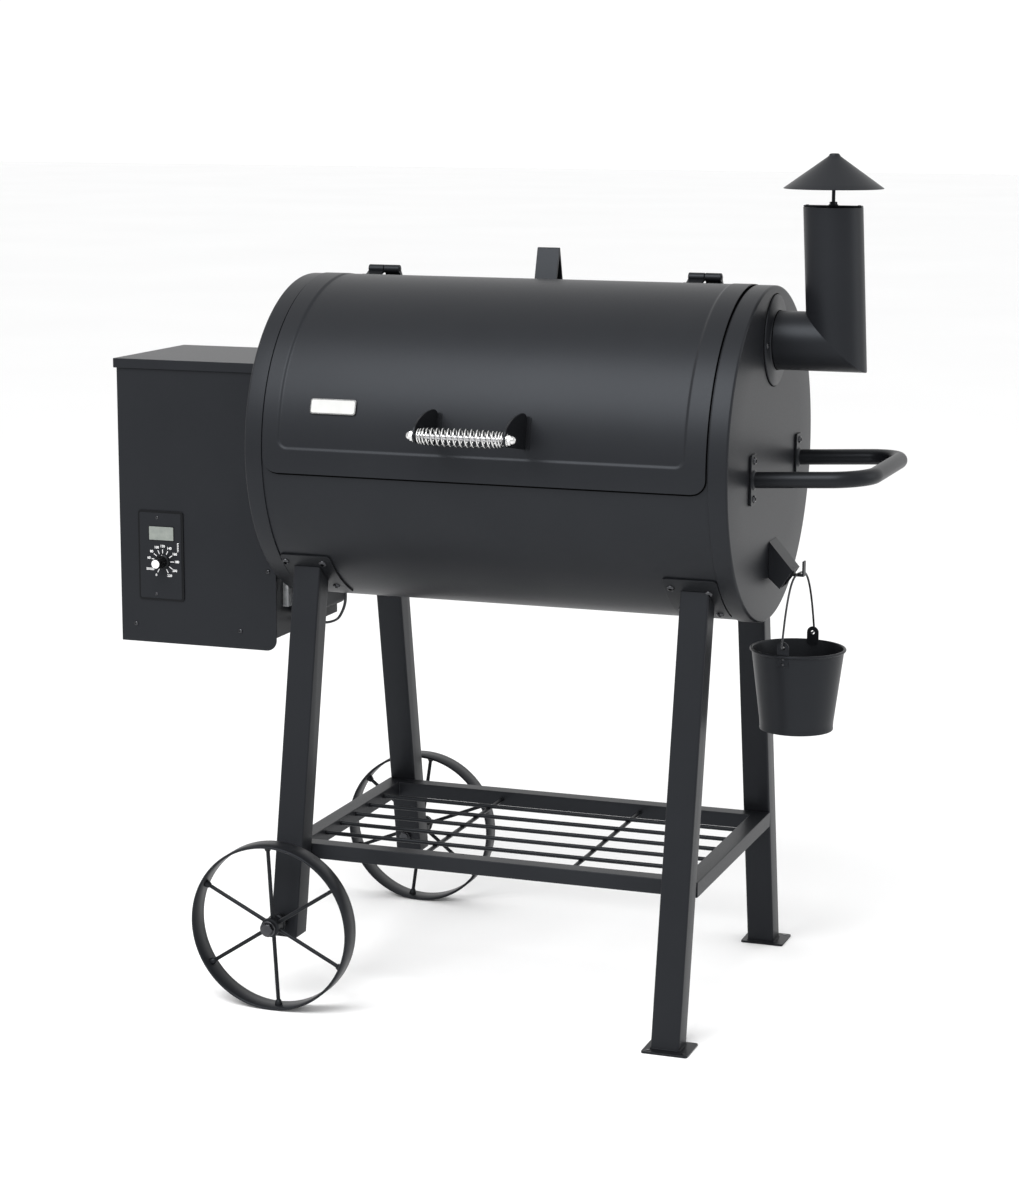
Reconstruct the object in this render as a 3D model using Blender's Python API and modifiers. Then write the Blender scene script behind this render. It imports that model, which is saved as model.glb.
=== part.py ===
"""Pellet smoker grill: a lying barrel with a lid, a pellet hopper on its left end, a chimney on its
right end, and a four-legged stand with a rod shelf and two spoked wheels.

Metres, +Z up. The barrel lies along X, the front is -Y, and the stand rests on z = 0.
"""

import math

import bmesh
import bpy
from mathutils import Matrix, Vector

# ---------------------------------------------------------------- driving dimensions
GAP = 0.0003                 # clearance between pieces that touch
SHEET = 0.0016               # sheet steel of the barrel, caps and lid
FACETS = 48                  # flats round the barrel and all that follows its curve
STEP_DEG = 360.0 / FACETS

BARREL_RADIUS = 0.230
BARREL_HALF = 0.342          # half length of the barrel over its end caps
BAND = 0.026                 # width of the end caps' rims
AXIS_Z = 0.771               # height of the barrel's axis
SHELL_RADIUS = BARREL_RADIUS - SHEET - 0.0004
OPENING_HALF = 0.300         # half width of the door opening in the shell
OPENING_SILL = AXIS_Z - 0.008
OPENING_BACK = 0.028

LID_BOTTOM_DEG = -6.5        # angles run from straight ahead, upwards
LID_TOP_DEG = 103.0
LID_HALF = BARREL_HALF - BAND - 0.0005
LID_CORNER = 0.020
PANEL_HALF = 0.290           # raised panel of the lid
PANEL_BOTTOM_DEG = 2.0
PANEL_TOP_DEG = 97.5
PANEL_RISE = 0.0025

HINGE_Y = 0.064
HINGE_Z = 1.0055
HINGE_LENGTH = 0.047
KNUCKLE_RADIUS = 0.006
HINGE_CENTRES = {"left": -0.2525, "right": 0.2265}

GRIP_Y = -0.302              # the lid's spring grip
GRIP_Z = 0.814
FIN_X = {"left": -0.0605, "right": 0.0655}
FIN_SHEET = 0.003
ROD_RADIUS = 0.004
SPRING_WIRE = 0.0014
SPRING_TURNS = 14
SPRING_NARROW = 0.0093       # the coil's radius to the middle of its wire, at the ends and in the middle
SPRING_SWELL = 0.0121

LEG_X = 0.281                # the legs lean outwards to the front and the back only
LEG_WIDTH = 0.040
LEG_DEPTH = 0.036
LEG_WALL = 0.0015
LEG_LEAN = math.atan(0.1852)
LEG_FOOT_Y = 0.2537          # centre line of a leg at the floor
CUT_LEG_Z = 0.094            # lower end of the two legs that carry the wheels
FOOT_PLATE = (0.064, 0.056, 0.003)
SADDLE_SHEET = 0.0025

SHELF_TOP = 0.215
SHELF_HALF = (0.302, 0.1953)
RAIL = (0.025, 0.0215)
ROD_Z = 0.2075
SHELF_ROD_RADIUS = 0.003
SHELF_ROD_PITCH = 0.055
CROSS_ROD_X = 0.109

WHEEL_RADIUS = 0.1175
WHEEL_WIDTH = 0.034
WHEEL_X = -0.2835
WHEEL_Y = 0.2985             # outer face of a wheel
SPOKE_PHASE = {"front": 33.5, "rear": 22.0}
AXLE_RADIUS = 0.006
BOLT_HEAD = 0.0070           # how far an axle's bolt head stands out from its wheel

HOPPER_LEFT = -0.598
HOPPER_RIGHT = -0.3513
HOPPER_HALF_Y = 0.110
HOPPER_BOTTOM = 0.487
HOPPER_TOP = 0.872
FASCIA_BOTTOM = 0.468
HOPPER_SHEET = 0.0012
HOPPER_LID_BOTTOM = 0.8664
HOPPER_LID_TOP = 0.880
HOPPER_LID_OVERHANG = 0.0036
HOPPER_HINGE_Y = 0.1167
HOPPER_HINGE_Z = 0.8705

CONTROL_X = -0.5318
CONTROL_Z = 0.5965
KNOB_X = -0.5290
KNOB_Z = 0.5880
KNOB_DEPTH = 0.024

AUGER_Z = 0.598
AUGER_TUBE_RADIUS = 0.022
AUGER_START = -0.505
AUGER_END = -0.098
POT_X = -0.052
POT_RADIUS = 0.044

DUCT_Y = 0.008               # the chimney's duct and stack
DUCT_Z = 0.927
DUCT_RADIUS = 0.040
DUCT_CORNER_X = 0.4265
STACK_TOP = 1.107
STACK_LEAN = math.radians(2.8)
FLANGE_RADIUS = 0.062
CAP_RIM_RADIUS = 0.067
CAP_RIM_Z = 1.132
CAP_TOP_Z = 1.178

HANDLE_Z = 0.750
HANDLE_FRONT_Y = -0.104
HANDLE_REAR_Y = 0.146
HANDLE_X = 0.498             # centre line of the handle's outer bar
HANDLE_RADIUS = 0.011
HANDLE_BEND = 0.050

CHUTE_Y = 0.015
CHUTE_WIDTH = 0.040
BUCKET_X = 0.3815
BUCKET_TURN = math.radians(-5.4)
BUCKET_RIM_Z = 0.503
BUCKET_BOTTOM_Z = 0.388
BUCKET_TOP_RADIUS = 0.0645
BUCKET_BOTTOM_RADIUS = 0.0500
EAR_Z = 0.513
EAR_Y = 0.0625
HOOK_Z = 0.6055              # upper face of the hook's tongue
BAIL_WIRE = 0.0015
BAIL_TOP = HOOK_Z + GAP + BAIL_WIRE

GRATE_Z = 0.7594
# the middle of the whole object, from the barrel's middle
MIDDLE_X = (HOPPER_LEFT - HOPPER_LID_OVERHANG + HANDLE_X + HANDLE_RADIUS) / 2
# the lid's spring grip reaches further forward than the rear axle's bolt head reaches back
MIDDLE_Y = (GRIP_Y - SPRING_SWELL - SPRING_WIRE + WHEEL_Y + BOLT_HEAD) / 2


# ---------------------------------------------------------------- scene, materials, helpers
for old in list(bpy.data.objects):
    bpy.data.objects.remove(old, do_unlink=True)

PARTS = bpy.data.collections.new("pellet_smoker_grill")
CUTTERS = bpy.data.collections.new("cutters")
for group in (PARTS, CUTTERS):
    bpy.context.scene.collection.children.link(group)
CUTTERS.hide_render = True


def material(name, colour, roughness, metallic=0.0):
    made = bpy.data.materials.new(name)
    made.use_nodes = True
    shader = made.node_tree.nodes["Principled BSDF"]
    shader.inputs["Base Color"].default_value = (*colour, 1.0)
    shader.inputs["Roughness"].default_value = roughness
    shader.inputs["Metallic"].default_value = metallic
    return made


BLACK_PAINT = material("charcoal_powder_coat", (0.036, 0.037, 0.040), 0.45)
CHROME = material("chrome", (0.80, 0.80, 0.80), 0.10, 1.0)
GALVANISED = material("galvanised_steel", (0.42, 0.43, 0.44), 0.42, 1.0)
CAST = material("cast_iron", (0.030, 0.030, 0.031), 0.62)
PLATE = material("badge_silver", (0.82, 0.82, 0.81), 0.30, 0.3)
BLACK_PLASTIC = material("black_plastic", (0.018, 0.018, 0.019), 0.42)
DISPLAY = material("display_window", (0.30, 0.32, 0.30), 0.15)
CABLE = material("cable_sheath", (0.015, 0.015, 0.016), 0.50)


def shade(obj, degrees=35):
    if obj.type == "MESH":
        obj.data.shade_smooth()
        obj.data.set_sharp_from_angle(angle=math.radians(degrees))
    return obj


def add(name, data, location=(0, 0, 0), finish=None, rotation=(0, 0, 0)):
    """A new object: a part where it has a finish, and otherwise a cutter."""
    obj = bpy.data.objects.new(name, data)
    obj.location = location
    obj.rotation_euler = rotation
    if finish:
        PARTS.objects.link(obj)
        data.materials.append(finish)
    else:
        CUTTERS.objects.link(obj)
        obj.hide_render = True
        obj.display_type = "WIRE"
    return obj


def mesh_from(name, bm):
    data = bpy.data.meshes.new(name)
    bmesh.ops.recalc_face_normals(bm, faces=bm.faces)
    bm.to_mesh(data)
    bm.free()
    return data


def box(name, low, high, finish=None, bevel=0.0, pivot=(0, 0, 0)):
    """A box between two corners, with its origin at pivot."""
    bm = bmesh.new()
    bmesh.ops.create_cube(bm, size=1.0)
    size = [b - a for a, b in zip(low, high)]
    middle = [(a + b) / 2 - p for a, b, p in zip(low, high, pivot)]
    bmesh.ops.scale(bm, vec=size, verts=bm.verts)
    bmesh.ops.translate(bm, vec=middle, verts=bm.verts)
    obj = add(name, mesh_from(name, bm), pivot, finish)
    if bevel:
        edge = obj.modifiers.new("edges", "BEVEL")
        edge.width = bevel
        edge.segments = 1
    return obj


TURN_TO = {
    "X": Matrix.Rotation(math.pi / 2, 4, "Y"),
    "Y": Matrix.Rotation(-math.pi / 2, 4, "X"),
    "Z": Matrix.Identity(4),
}


def cylinder(name, radius, start, length, axis, finish=None, segments=24, pivot=None, end_radius=None):
    """A cylinder, or a cone frustum, that starts at a point and runs along an axis."""
    bm = bmesh.new()
    bmesh.ops.create_cone(
        bm, cap_ends=True, segments=segments, radius1=radius,
        radius2=radius if end_radius is None else end_radius, depth=length,
    )
    bmesh.ops.rotate(bm, matrix=Matrix.Rotation(math.pi / segments * (segments % 4 // 2), 3, "Z"), verts=bm.verts)
    bmesh.ops.translate(bm, vec=(0, 0, length / 2), verts=bm.verts)
    bmesh.ops.transform(bm, matrix=TURN_TO[axis], verts=bm.verts)
    pivot = start if pivot is None else pivot
    bmesh.ops.translate(bm, vec=Vector(start) - Vector(pivot), verts=bm.verts)
    return shade(add(name, mesh_from(name, bm), pivot, finish))


def turned(name, profile, location, finish=None, steps=32, axis="Z", closed=False, flip=False):
    """A Screw of (radius, height) points that run down the outer side."""
    data = bpy.data.meshes.new(name)
    points = [(radius, 0.0, height) for radius, height in profile]
    edges = [(i, i + 1) for i in range(len(points) - 1)]
    if closed:
        edges.append((len(points) - 1, 0))
    data.from_pydata(points, edges, [])
    turn = {"X": (0, math.pi / 2, 0), "Y": (-math.pi / 2, 0, 0), "-X": (0, -math.pi / 2, 0), "Z": (0, 0, 0),
            "-Y": (math.pi / 2, 0, 0)}
    obj = add(name, data, location, finish, turn[axis])
    screw = obj.modifiers.new("turn", "SCREW")
    screw.steps = steps
    screw.render_steps = steps
    screw.use_merge_vertices = True
    screw.merge_threshold = 0.00005
    screw.use_normal_calculate = True
    screw.use_normal_flip = flip
    screw.use_smooth_shade = True
    return obj


def plate(name, outline, thickness, location, finish=None, rotation=(0, 0, 0)):
    """A flat closed outline in its own XY plane, thickened both ways."""
    curve = bpy.data.curves.new(name, "CURVE")
    curve.dimensions = "2D"
    curve.fill_mode = "BOTH"
    curve.extrude = thickness / 2
    spline = curve.splines.new("POLY")
    spline.points.add(len(outline) - 1)
    for point, (x, y) in zip(spline.points, outline):
        point.co = (x, y, 0.0, 1.0)
    spline.use_cyclic_u = True
    return meshed(add(name, curve, location, finish, rotation))


def tube(name, points, radius, finish=None, location=(0, 0, 0), resolution=2, cyclic=False):
    """A round bar through the points."""
    curve = bpy.data.curves.new(name, "CURVE")
    curve.dimensions = "3D"
    curve.bevel_depth = radius
    curve.bevel_resolution = resolution
    curve.use_fill_caps = True
    spline = curve.splines.new("POLY")
    spline.points.add(len(points) - 1)
    for point, place in zip(spline.points, points):
        point.co = (*place, 1.0)
    spline.use_cyclic_u = cyclic
    return add(name, curve, location, finish)


def meshed(obj):
    """The same object with its curve made a closed mesh, so that it can be cut and joined."""
    bpy.context.view_layer.update()
    graph = bpy.context.evaluated_depsgraph_get()
    data = bpy.data.meshes.new_from_object(obj.evaluated_get(graph))
    bm = bmesh.new()
    bm.from_mesh(data)
    bmesh.ops.remove_doubles(bm, verts=bm.verts, dist=0.00001)
    bmesh.ops.recalc_face_normals(bm, faces=bm.faces)
    bm.to_mesh(data)
    bm.free()
    name = obj.name
    finish = obj.active_material
    data.materials.clear()
    place = obj.matrix_world.copy()
    bpy.data.objects.remove(obj, do_unlink=True)
    made = add(name, data, finish=finish)
    made.matrix_world = place
    return shade(made)


def combine(obj, other, operation):
    step = obj.modifiers.new(operation.lower(), "BOOLEAN")
    step.operation = operation
    step.object = other
    return obj


def cut(obj, *others):
    for other in others:
        combine(obj, other, "DIFFERENCE")
    return obj


def join(obj, *others):
    for other in others:
        combine(obj, other, "UNION")
    return obj


def arc(centre, radius, start_deg, end_deg, count):
    """Points along a circle, ends included."""
    return [
        (
            centre[0] + radius * math.cos(math.radians(start_deg + (end_deg - start_deg) * i / count)),
            centre[1] + radius * math.sin(math.radians(start_deg + (end_deg - start_deg) * i / count)),
        )
        for i in range(count + 1)
    ]


def on_barrel(radius, degrees, x=0.0):
    """The point at this radius and angle up from straight ahead, on a cross-section of the barrel."""
    angle = math.radians(degrees)
    return Vector((x, -radius * math.cos(angle), AXIS_Z + radius * math.sin(angle)))


def curved_sheet(name, columns, rows, radius, thickness, finish, lift=None, corner=0.0, corners=(), pivot=(0, 0, 0)):
    """A sheet bent round the barrel's axis. Its outer side is at radius, plus lift(x, degrees)."""
    bm = bmesh.new()
    bmesh.ops.create_grid(bm, x_segments=len(columns) - 1, y_segments=len(rows) - 1, size=1.0)
    rounded = []
    for vert in bm.verts:
        column = round((vert.co.x + 1) / 2 * (len(columns) - 1))
        row = round((vert.co.y + 1) / 2 * (len(rows) - 1))
        if (column == 0, row == 0) in corners and column in (0, len(columns) - 1) and row in (0, len(rows) - 1):
            rounded.append(vert)
        x, degrees = columns[column], rows[row]
        rise = lift(x, degrees) if lift else 0.0
        vert.co = on_barrel(radius + rise, degrees, x) - Vector(pivot)
    if rounded:
        bmesh.ops.bevel(bm, geom=rounded, offset=corner, segments=4, profile=0.5, affect="VERTICES")
    obj = add(name, mesh_from(name, bm), pivot, finish)
    outward = obj.data.polygons[0].normal.dot(obj.data.polygons[0].center + Vector(pivot) - Vector((0, 0, AXIS_Z)))
    skin = obj.modifiers.new("thickness", "SOLIDIFY")
    skin.thickness = thickness
    skin.offset = -1.0 if outward > 0 else 1.0
    skin.use_even_offset = True
    return shade(obj)


def row_angles(low, high, extra=()):
    """The barrel's facet angles between two limits, with the limits and any extra rows."""
    first = math.ceil(low / STEP_DEG + 0.2)
    last = math.floor(high / STEP_DEG - 0.2)
    return sorted({low, high, *extra, *(i * STEP_DEG for i in range(first, last + 1))})


# ---------------------------------------------------------------- barrel
def barrel_tube(name, radius, half_length, finish=None, inner=None):
    """A tube round the barrel's axis, solid where it has no inner radius."""
    profile = [(radius, half_length), (radius, -half_length)]
    if inner is None:
        profile = [(0.0, half_length), *profile, (0.0, -half_length)]
        return turned(name, profile, (0, 0, AXIS_Z), finish, FACETS, "X")
    profile += [(inner, -half_length), (inner, half_length)]
    return turned(name, profile, (0, 0, AXIS_Z), finish, FACETS, "X", closed=True)


def make_barrel():
    inner = SHELL_RADIUS - SHEET
    shell_half = BARREL_HALF - SHEET - 0.0004
    shell = barrel_tube("barrel_shell", SHELL_RADIUS, shell_half, BLACK_PAINT, inner)
    door_hole = box(
        "door_hole", (-OPENING_HALF, -0.3, OPENING_SILL), (OPENING_HALF, OPENING_BACK, AXIS_Z + 0.3)
    )
    air_hole = cylinder("air_hole", 0.009, (-0.3265, 0, AXIS_Z - 0.26), 0.06, "Z")
    lead_hole = cylinder("lead_hole", 0.0045, (-0.274, -0.040, AXIS_Z - 0.26), 0.06, "Z", segments=12)
    cut(shell, door_hole, air_hole, lead_hole)
    for side in (-1, 1):
        ledge = box(
            f"grate_ledge_{side}",
            (-0.296, min(side * 0.204, side * 0.2269), 0.7570),
            (0.296, max(side * 0.204, side * 0.2269), 0.7590),
        )
        join(shell, ledge)

    for side, name in ((-1, "end_cap_left"), (1, "end_cap_right")):
        edge = 0.003
        profile = [
            (0.0, BARREL_HALF),
            (BARREL_RADIUS - edge, BARREL_HALF),
            (BARREL_RADIUS - 0.0009, BARREL_HALF - 0.0009),
            (BARREL_RADIUS, BARREL_HALF - edge),
            (BARREL_RADIUS, BARREL_HALF - BAND),
            (BARREL_RADIUS - SHEET, BARREL_HALF - BAND),
            (BARREL_RADIUS - SHEET, BARREL_HALF - SHEET),
            (0.0, BARREL_HALF - SHEET),
        ]
        cap = turned(name, profile, (0, 0, AXIS_Z), BLACK_PAINT, FACETS, "X" if side > 0 else "-X")
        if side > 0:
            flue_hole = cylinder("flue_hole", DUCT_RADIUS - 0.002, (0.33, DUCT_Y, DUCT_Z), 0.03, "X", segments=32)
            drain_hole = box("drain_hole", (0.33, CHUTE_Y - 0.015, 0.610), (0.36, CHUTE_Y + 0.015, 0.640))
            cut(cap, flue_hole, drain_hole)
        else:
            auger_hole = cylinder("auger_hole", AUGER_TUBE_RADIUS + 0.0006, (-0.36, 0, AUGER_Z), 0.04, "X")
            probe_hole = cylinder("probe_hole", 0.0030, (-0.36, 0.12, 0.80), 0.04, "X", segments=12)
            cut(cap, auger_hole, probe_hole)


# ---------------------------------------------------------------- lid
def panel_lift(x, degrees):
    inside = abs(x) < PANEL_HALF and PANEL_BOTTOM_DEG - 0.01 < degrees < PANEL_TOP_DEG + 0.01
    return PANEL_RISE if inside else 0.0


def make_lid():
    step = PANEL_HALF + 0.0035
    columns = [-LID_HALF, -step, -PANEL_HALF + 0.0002, PANEL_HALF - 0.0002, step, LID_HALF]
    rows = row_angles(
        LID_BOTTOM_DEG, LID_TOP_DEG, (PANEL_BOTTOM_DEG - 0.9, PANEL_BOTTOM_DEG, PANEL_TOP_DEG, PANEL_TOP_DEG + 0.9)
    )
    curved_sheet(
        "lid", columns, rows, BARREL_RADIUS, SHEET, BLACK_PAINT, panel_lift, LID_CORNER,
        ((True, True), (False, True)), pivot=(0, HINGE_Y, HINGE_Z),
    )

    tangent = math.radians(16.6)
    face = on_barrel(BARREL_RADIUS + PANEL_RISE + 0.0016, 16.6, -0.2115)
    half_width, half_height, corner = 0.0335, 0.0107, 0.004
    outline = []
    for sign_x, sign_y, start in ((1, 1, 0), (-1, 1, 90), (-1, -1, 180), (1, -1, 270)):
        centre = (sign_x * (half_width - corner), sign_y * (half_height - corner))
        outline += arc(centre, corner, start, start + 90, 3)
    plate("badge_plate", outline, 0.002, face, PLATE, (math.pi / 2 - tangent, 0, 0))


def fin_outline():
    """A bracket's side view in (y, z) about the grip's axis: a round nose that widens to the lid."""
    nose = 0.0095
    foot_top = on_barrel(BARREL_RADIUS + PANEL_RISE + 0.0006, 15.0)
    foot_middle = on_barrel(BARREL_RADIUS + PANEL_RISE + 0.0006, 11.2)
    foot_low = on_barrel(BARREL_RADIUS + PANEL_RISE + 0.0006, 5.4)
    points = arc((0, 0), nose, 255, 150, 5)
    # upper edge: a quarter of an ellipse from the nose to the crown
    crown = (0.052, 0.0285)
    start = points[-1]
    for i in range(1, 6):
        angle = math.pi / 2 * i / 5
        points.append(
            (start[0] + (crown[0] - start[0]) * (1 - math.cos(angle)), start[1] + (crown[1] - start[1]) * math.sin(angle))
        )
    points += [(0.0680, 0.0275), (0.0745, 0.0235)]
    for foot in (foot_top, foot_middle, foot_low):
        points.append((foot.y - GRIP_Y, foot.z - GRIP_Z))
    return points


def make_lid_handle():
    for side, x in FIN_X.items():
        fin = plate(
            f"lid_handle_bracket_{side}", fin_outline(), FIN_SHEET, (x, GRIP_Y, GRIP_Z), BLACK_PAINT,
            (math.pi / 2, 0, math.pi / 2),
        )
        cut(fin, cylinder(f"{side}_fin_hole", ROD_RADIUS + GAP, (x - 0.01, GRIP_Y, GRIP_Z), 0.02, "X", segments=16))
    rod_start = FIN_X["left"] - 0.006
    rod = cylinder(
        "lid_handle_rod", ROD_RADIUS, (rod_start, GRIP_Y, GRIP_Z), FIN_X["right"] + 0.006 - rod_start, "X",
        CHROME, 16,
    )
    for side, outward in (("left", -1), ("right", 1)):
        washer_face = FIN_X[side] + outward * (FIN_SHEET / 2 + GAP)
        profile = [(0.0, 0.0125), (0.0030, 0.0120), (0.0055, 0.0095), (0.0065, 0.0060), (0.0078, 0.0055),
                   (0.0078, 0.0), (0.0, 0.0)]
        nut = turned(
            f"{side}_acorn_nut", profile, (washer_face, GRIP_Y, GRIP_Z), None, 16, "X" if outward > 0 else "-X"
        )
        join(rod, nut)

    clearance = FIN_SHEET / 2 + SPRING_WIRE + 0.0006
    start, end = FIN_X["left"] + clearance, FIN_X["right"] - clearance
    per_turn = 11
    points = []
    for i in range(SPRING_TURNS * per_turn + 1):
        share = i / (SPRING_TURNS * per_turn)
        angle = 2 * math.pi * i / per_turn
        radius = SPRING_NARROW + (SPRING_SWELL - SPRING_NARROW) * math.sin(math.pi * share)
        points.append((start + (end - start) * share, radius * math.cos(angle), radius * math.sin(angle)))
    tube("lid_handle_spring", points, SPRING_WIRE, CHROME, (0, GRIP_Y, GRIP_Z), resolution=1)


# ---------------------------------------------------------------- hinges and lid stop
def make_hinges():
    """Each hinge: a knuckle half and a wing that lies on the lid, and another with the pin on the body."""
    axis = Vector((0, HINGE_Y, HINGE_Z))
    over_lid = BARREL_RADIUS + 0.0006
    over_shell = SHELL_RADIUS + 0.0004
    lid_wing = [
        on_barrel(over_lid, 98.9), on_barrel(over_lid, 102.8), axis + Vector((0, -0.001, -0.0052)),
        axis + Vector((0, -0.001, -0.0005)), on_barrel(over_lid + 0.0032, 102.0), on_barrel(over_lid + 0.0026, 98.9),
    ]
    body_wing = [
        on_barrel(over_shell, 107.5), on_barrel(over_shell, 112.0), on_barrel(over_shell, 115.5),
        on_barrel(over_shell + 0.0025, 115.5), on_barrel(over_shell + 0.0030, 110.5), axis + Vector((0, 0.0030, 0.0010)),
        axis + Vector((0, 0.0005, -0.0055)),
    ]
    for side, x in HINGE_CENTRES.items():
        start, end = x - HINGE_LENGTH / 2, x + HINGE_LENGTH / 2
        half = HINGE_LENGTH / 2 - 0.0003
        for name, outline, low in (("lid", lid_wing, start), ("body", body_wing, x + 0.0003)):
            leaf = cylinder(f"hinge_{name}_leaf_{side}", KNUCKLE_RADIUS, (low, *axis[1:]), half, "X", BLACK_PAINT, 16)
            wing = plate(
                f"{name}_wing_{side}", [(p.y, p.z) for p in outline], half, (low + half / 2, 0, 0), None,
                (math.pi / 2, 0, math.pi / 2),
            )
            join(leaf, wing)
            if name == "lid":
                cut(leaf, cylinder(f"{side}_hinge_bore", 0.0022, (start - 0.01, *axis[1:]), 0.07, "X", segments=12))
            else:
                pin_length = end - start
                join(leaf, cylinder(f"{side}_hinge_pin", 0.0018, (start - 0.001, *axis[1:]), pin_length, "X", segments=12))


def make_lid_stop():
    """A strip bent to an upside-down V on the back of the barrel, which the open lid leans on."""
    sheet = 0.0025
    seat_radius = SHELL_RADIUS + GAP
    front_foot = math.degrees(math.acos(-0.070 / seat_radius))
    back_foot = math.degrees(math.acos(-0.106 / seat_radius))
    front = on_barrel(seat_radius + 0.001, front_foot)
    back = on_barrel(seat_radius + 0.001, back_foot)
    apex = Vector((0, 0.0865, 1.0402))
    inner_apex = apex + Vector((0, 0.0006, -0.0075))
    outline = [(p.y, p.z) for p in (
        front, apex + Vector((0, -0.0014, 0)), apex + Vector((0, 0.0014, 0)), back,
        back + Vector((0, -sheet * 1.05, 0.0006)), inner_apex, front + Vector((0, sheet * 1.05, 0)),
    )]
    plate("lid_stop", outline, 0.033, (-0.0104, 0, 0), BLACK_PAINT, (math.pi / 2, 0, math.pi / 2))


# ---------------------------------------------------------------- chimney
def make_chimney():
    inward = Vector((1, 0, 0))
    upward = Vector((-math.sin(STACK_LEAN), 0, math.cos(STACK_LEAN)))
    corner = Vector((DUCT_CORNER_X, DUCT_Y, DUCT_Z))
    mitre = (inward + upward).normalized()
    wall = 0.0015
    reach = 0.30
    bm = bmesh.new()
    bmesh.ops.create_cone(bm, cap_ends=False, segments=32, radius1=DUCT_RADIUS, radius2=DUCT_RADIUS, depth=reach)
    bmesh.ops.transform(bm, matrix=Matrix.Translation(corner - inward * (reach / 2 - 0.08)) @ TURN_TO["X"], verts=bm.verts)
    bmesh.ops.bisect_plane(
        bm, geom=bm.verts[:] + bm.edges[:] + bm.faces[:], plane_co=corner, plane_no=mitre, clear_outer=True
    )
    lower = bm.verts[:] + bm.edges[:] + bm.faces[:]
    upper = bmesh.ops.duplicate(bm, geom=lower)["geom"]
    upper_verts = [item for item in upper if isinstance(item, bmesh.types.BMVert)]
    for vert in upper_verts:
        vert.co -= 2 * (vert.co - corner).dot(mitre) * mitre
    bmesh.ops.reverse_faces(bm, faces=[item for item in upper if isinstance(item, bmesh.types.BMFace)])
    bmesh.ops.remove_doubles(bm, verts=bm.verts, dist=0.00001)
    foot_x = BARREL_HALF + GAP
    bmesh.ops.bisect_plane(
        bm, geom=bm.verts[:] + bm.edges[:] + bm.faces[:], plane_co=(foot_x, 0, 0), plane_no=(-1, 0, 0), clear_outer=True
    )
    bmesh.ops.bisect_plane(
        bm, geom=bm.verts[:] + bm.edges[:] + bm.faces[:], plane_co=(0, 0, STACK_TOP), plane_no=(0, 0, 1),
        clear_outer=True,
    )
    data = mesh_from("chimney_pipe", bm)
    pipe = add("chimney_pipe", data, finish=BLACK_PAINT)
    skin = pipe.modifiers.new("thickness", "SOLIDIFY")
    skin.thickness = wall
    skin.offset = -1.0
    skin.use_even_offset = True
    shade(pipe)
    flange = turned(
        "chimney_flange", [(FLANGE_RADIUS, 0.002), (FLANGE_RADIUS, 0.0), (DUCT_RADIUS - wall / 2, 0.0),
                           (DUCT_RADIUS - wall / 2, 0.002)],
        (foot_x + 0.0002, DUCT_Y, DUCT_Z), None, 32, "X", closed=True,
    )
    join(pipe, flange)

    top = corner + upward * ((STACK_TOP - DUCT_Z) / upward.z)
    strap_z = STACK_TOP + GAP
    strap_half = DUCT_RADIUS - 0.0005
    stem = cylinder("chimney_cap_stem", 0.0024, (top.x, DUCT_Y, strap_z), CAP_TOP_Z - 0.003 - strap_z, "Z", BLACK_PAINT, 12)
    strap = box("cap_strap", (top.x - strap_half, DUCT_Y - 0.006, strap_z), (top.x + strap_half, DUCT_Y + 0.006, strap_z + 0.002))
    nut = cylinder("strap_nut", 0.0075, (top.x, DUCT_Y, strap_z + 0.001), 0.0065, "Z", None, 6, end_radius=0.0045)
    join(stem, strap, nut)

    sheet = 0.0012
    button = 0.0100
    profile = [
        (0.0030, CAP_TOP_Z), (0.0070, CAP_TOP_Z - 0.0006), (button, CAP_TOP_Z - 0.0040),
        (CAP_RIM_RADIUS, CAP_RIM_Z), (CAP_RIM_RADIUS - 0.0016, CAP_RIM_Z - 0.0008),
        (button, CAP_TOP_Z - 0.0040 - 2 * sheet), (0.0030, CAP_TOP_Z - 0.0075),
    ]
    turned("chimney_cap", profile, (top.x, DUCT_Y, 0), BLACK_PAINT, 40, "Z", closed=True)


# ---------------------------------------------------------------- side handle, chute, bucket
def make_side_handle():
    wall_x = BARREL_HALF + GAP
    tilt = 0.05
    points = [(wall_x + 0.001, HANDLE_FRONT_Y, HANDLE_Z)]
    front = arc((HANDLE_X - HANDLE_BEND, HANDLE_FRONT_Y + HANDLE_BEND), HANDLE_BEND, -90, 0, 7)
    rear = arc((HANDLE_X - HANDLE_BEND, HANDLE_REAR_Y - HANDLE_BEND), HANDLE_BEND, 0, 90, 7)
    for x, y in front + rear:
        points.append((x, y, HANDLE_Z + tilt * (x - wall_x)))
    points.append((wall_x + 0.001, HANDLE_REAR_Y, HANDLE_Z))
    handle = meshed(tube("side_handle", points, HANDLE_RADIUS, BLACK_PAINT, resolution=3))
    for name, y in (("front", HANDLE_FRONT_Y), ("rear", HANDLE_REAR_Y)):
        join(handle, box(f"{name}_handle_plate", (wall_x, y - 0.015, HANDLE_Z - 0.034), (wall_x + 0.003, y + 0.015, HANDLE_Z + 0.034)))


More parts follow.
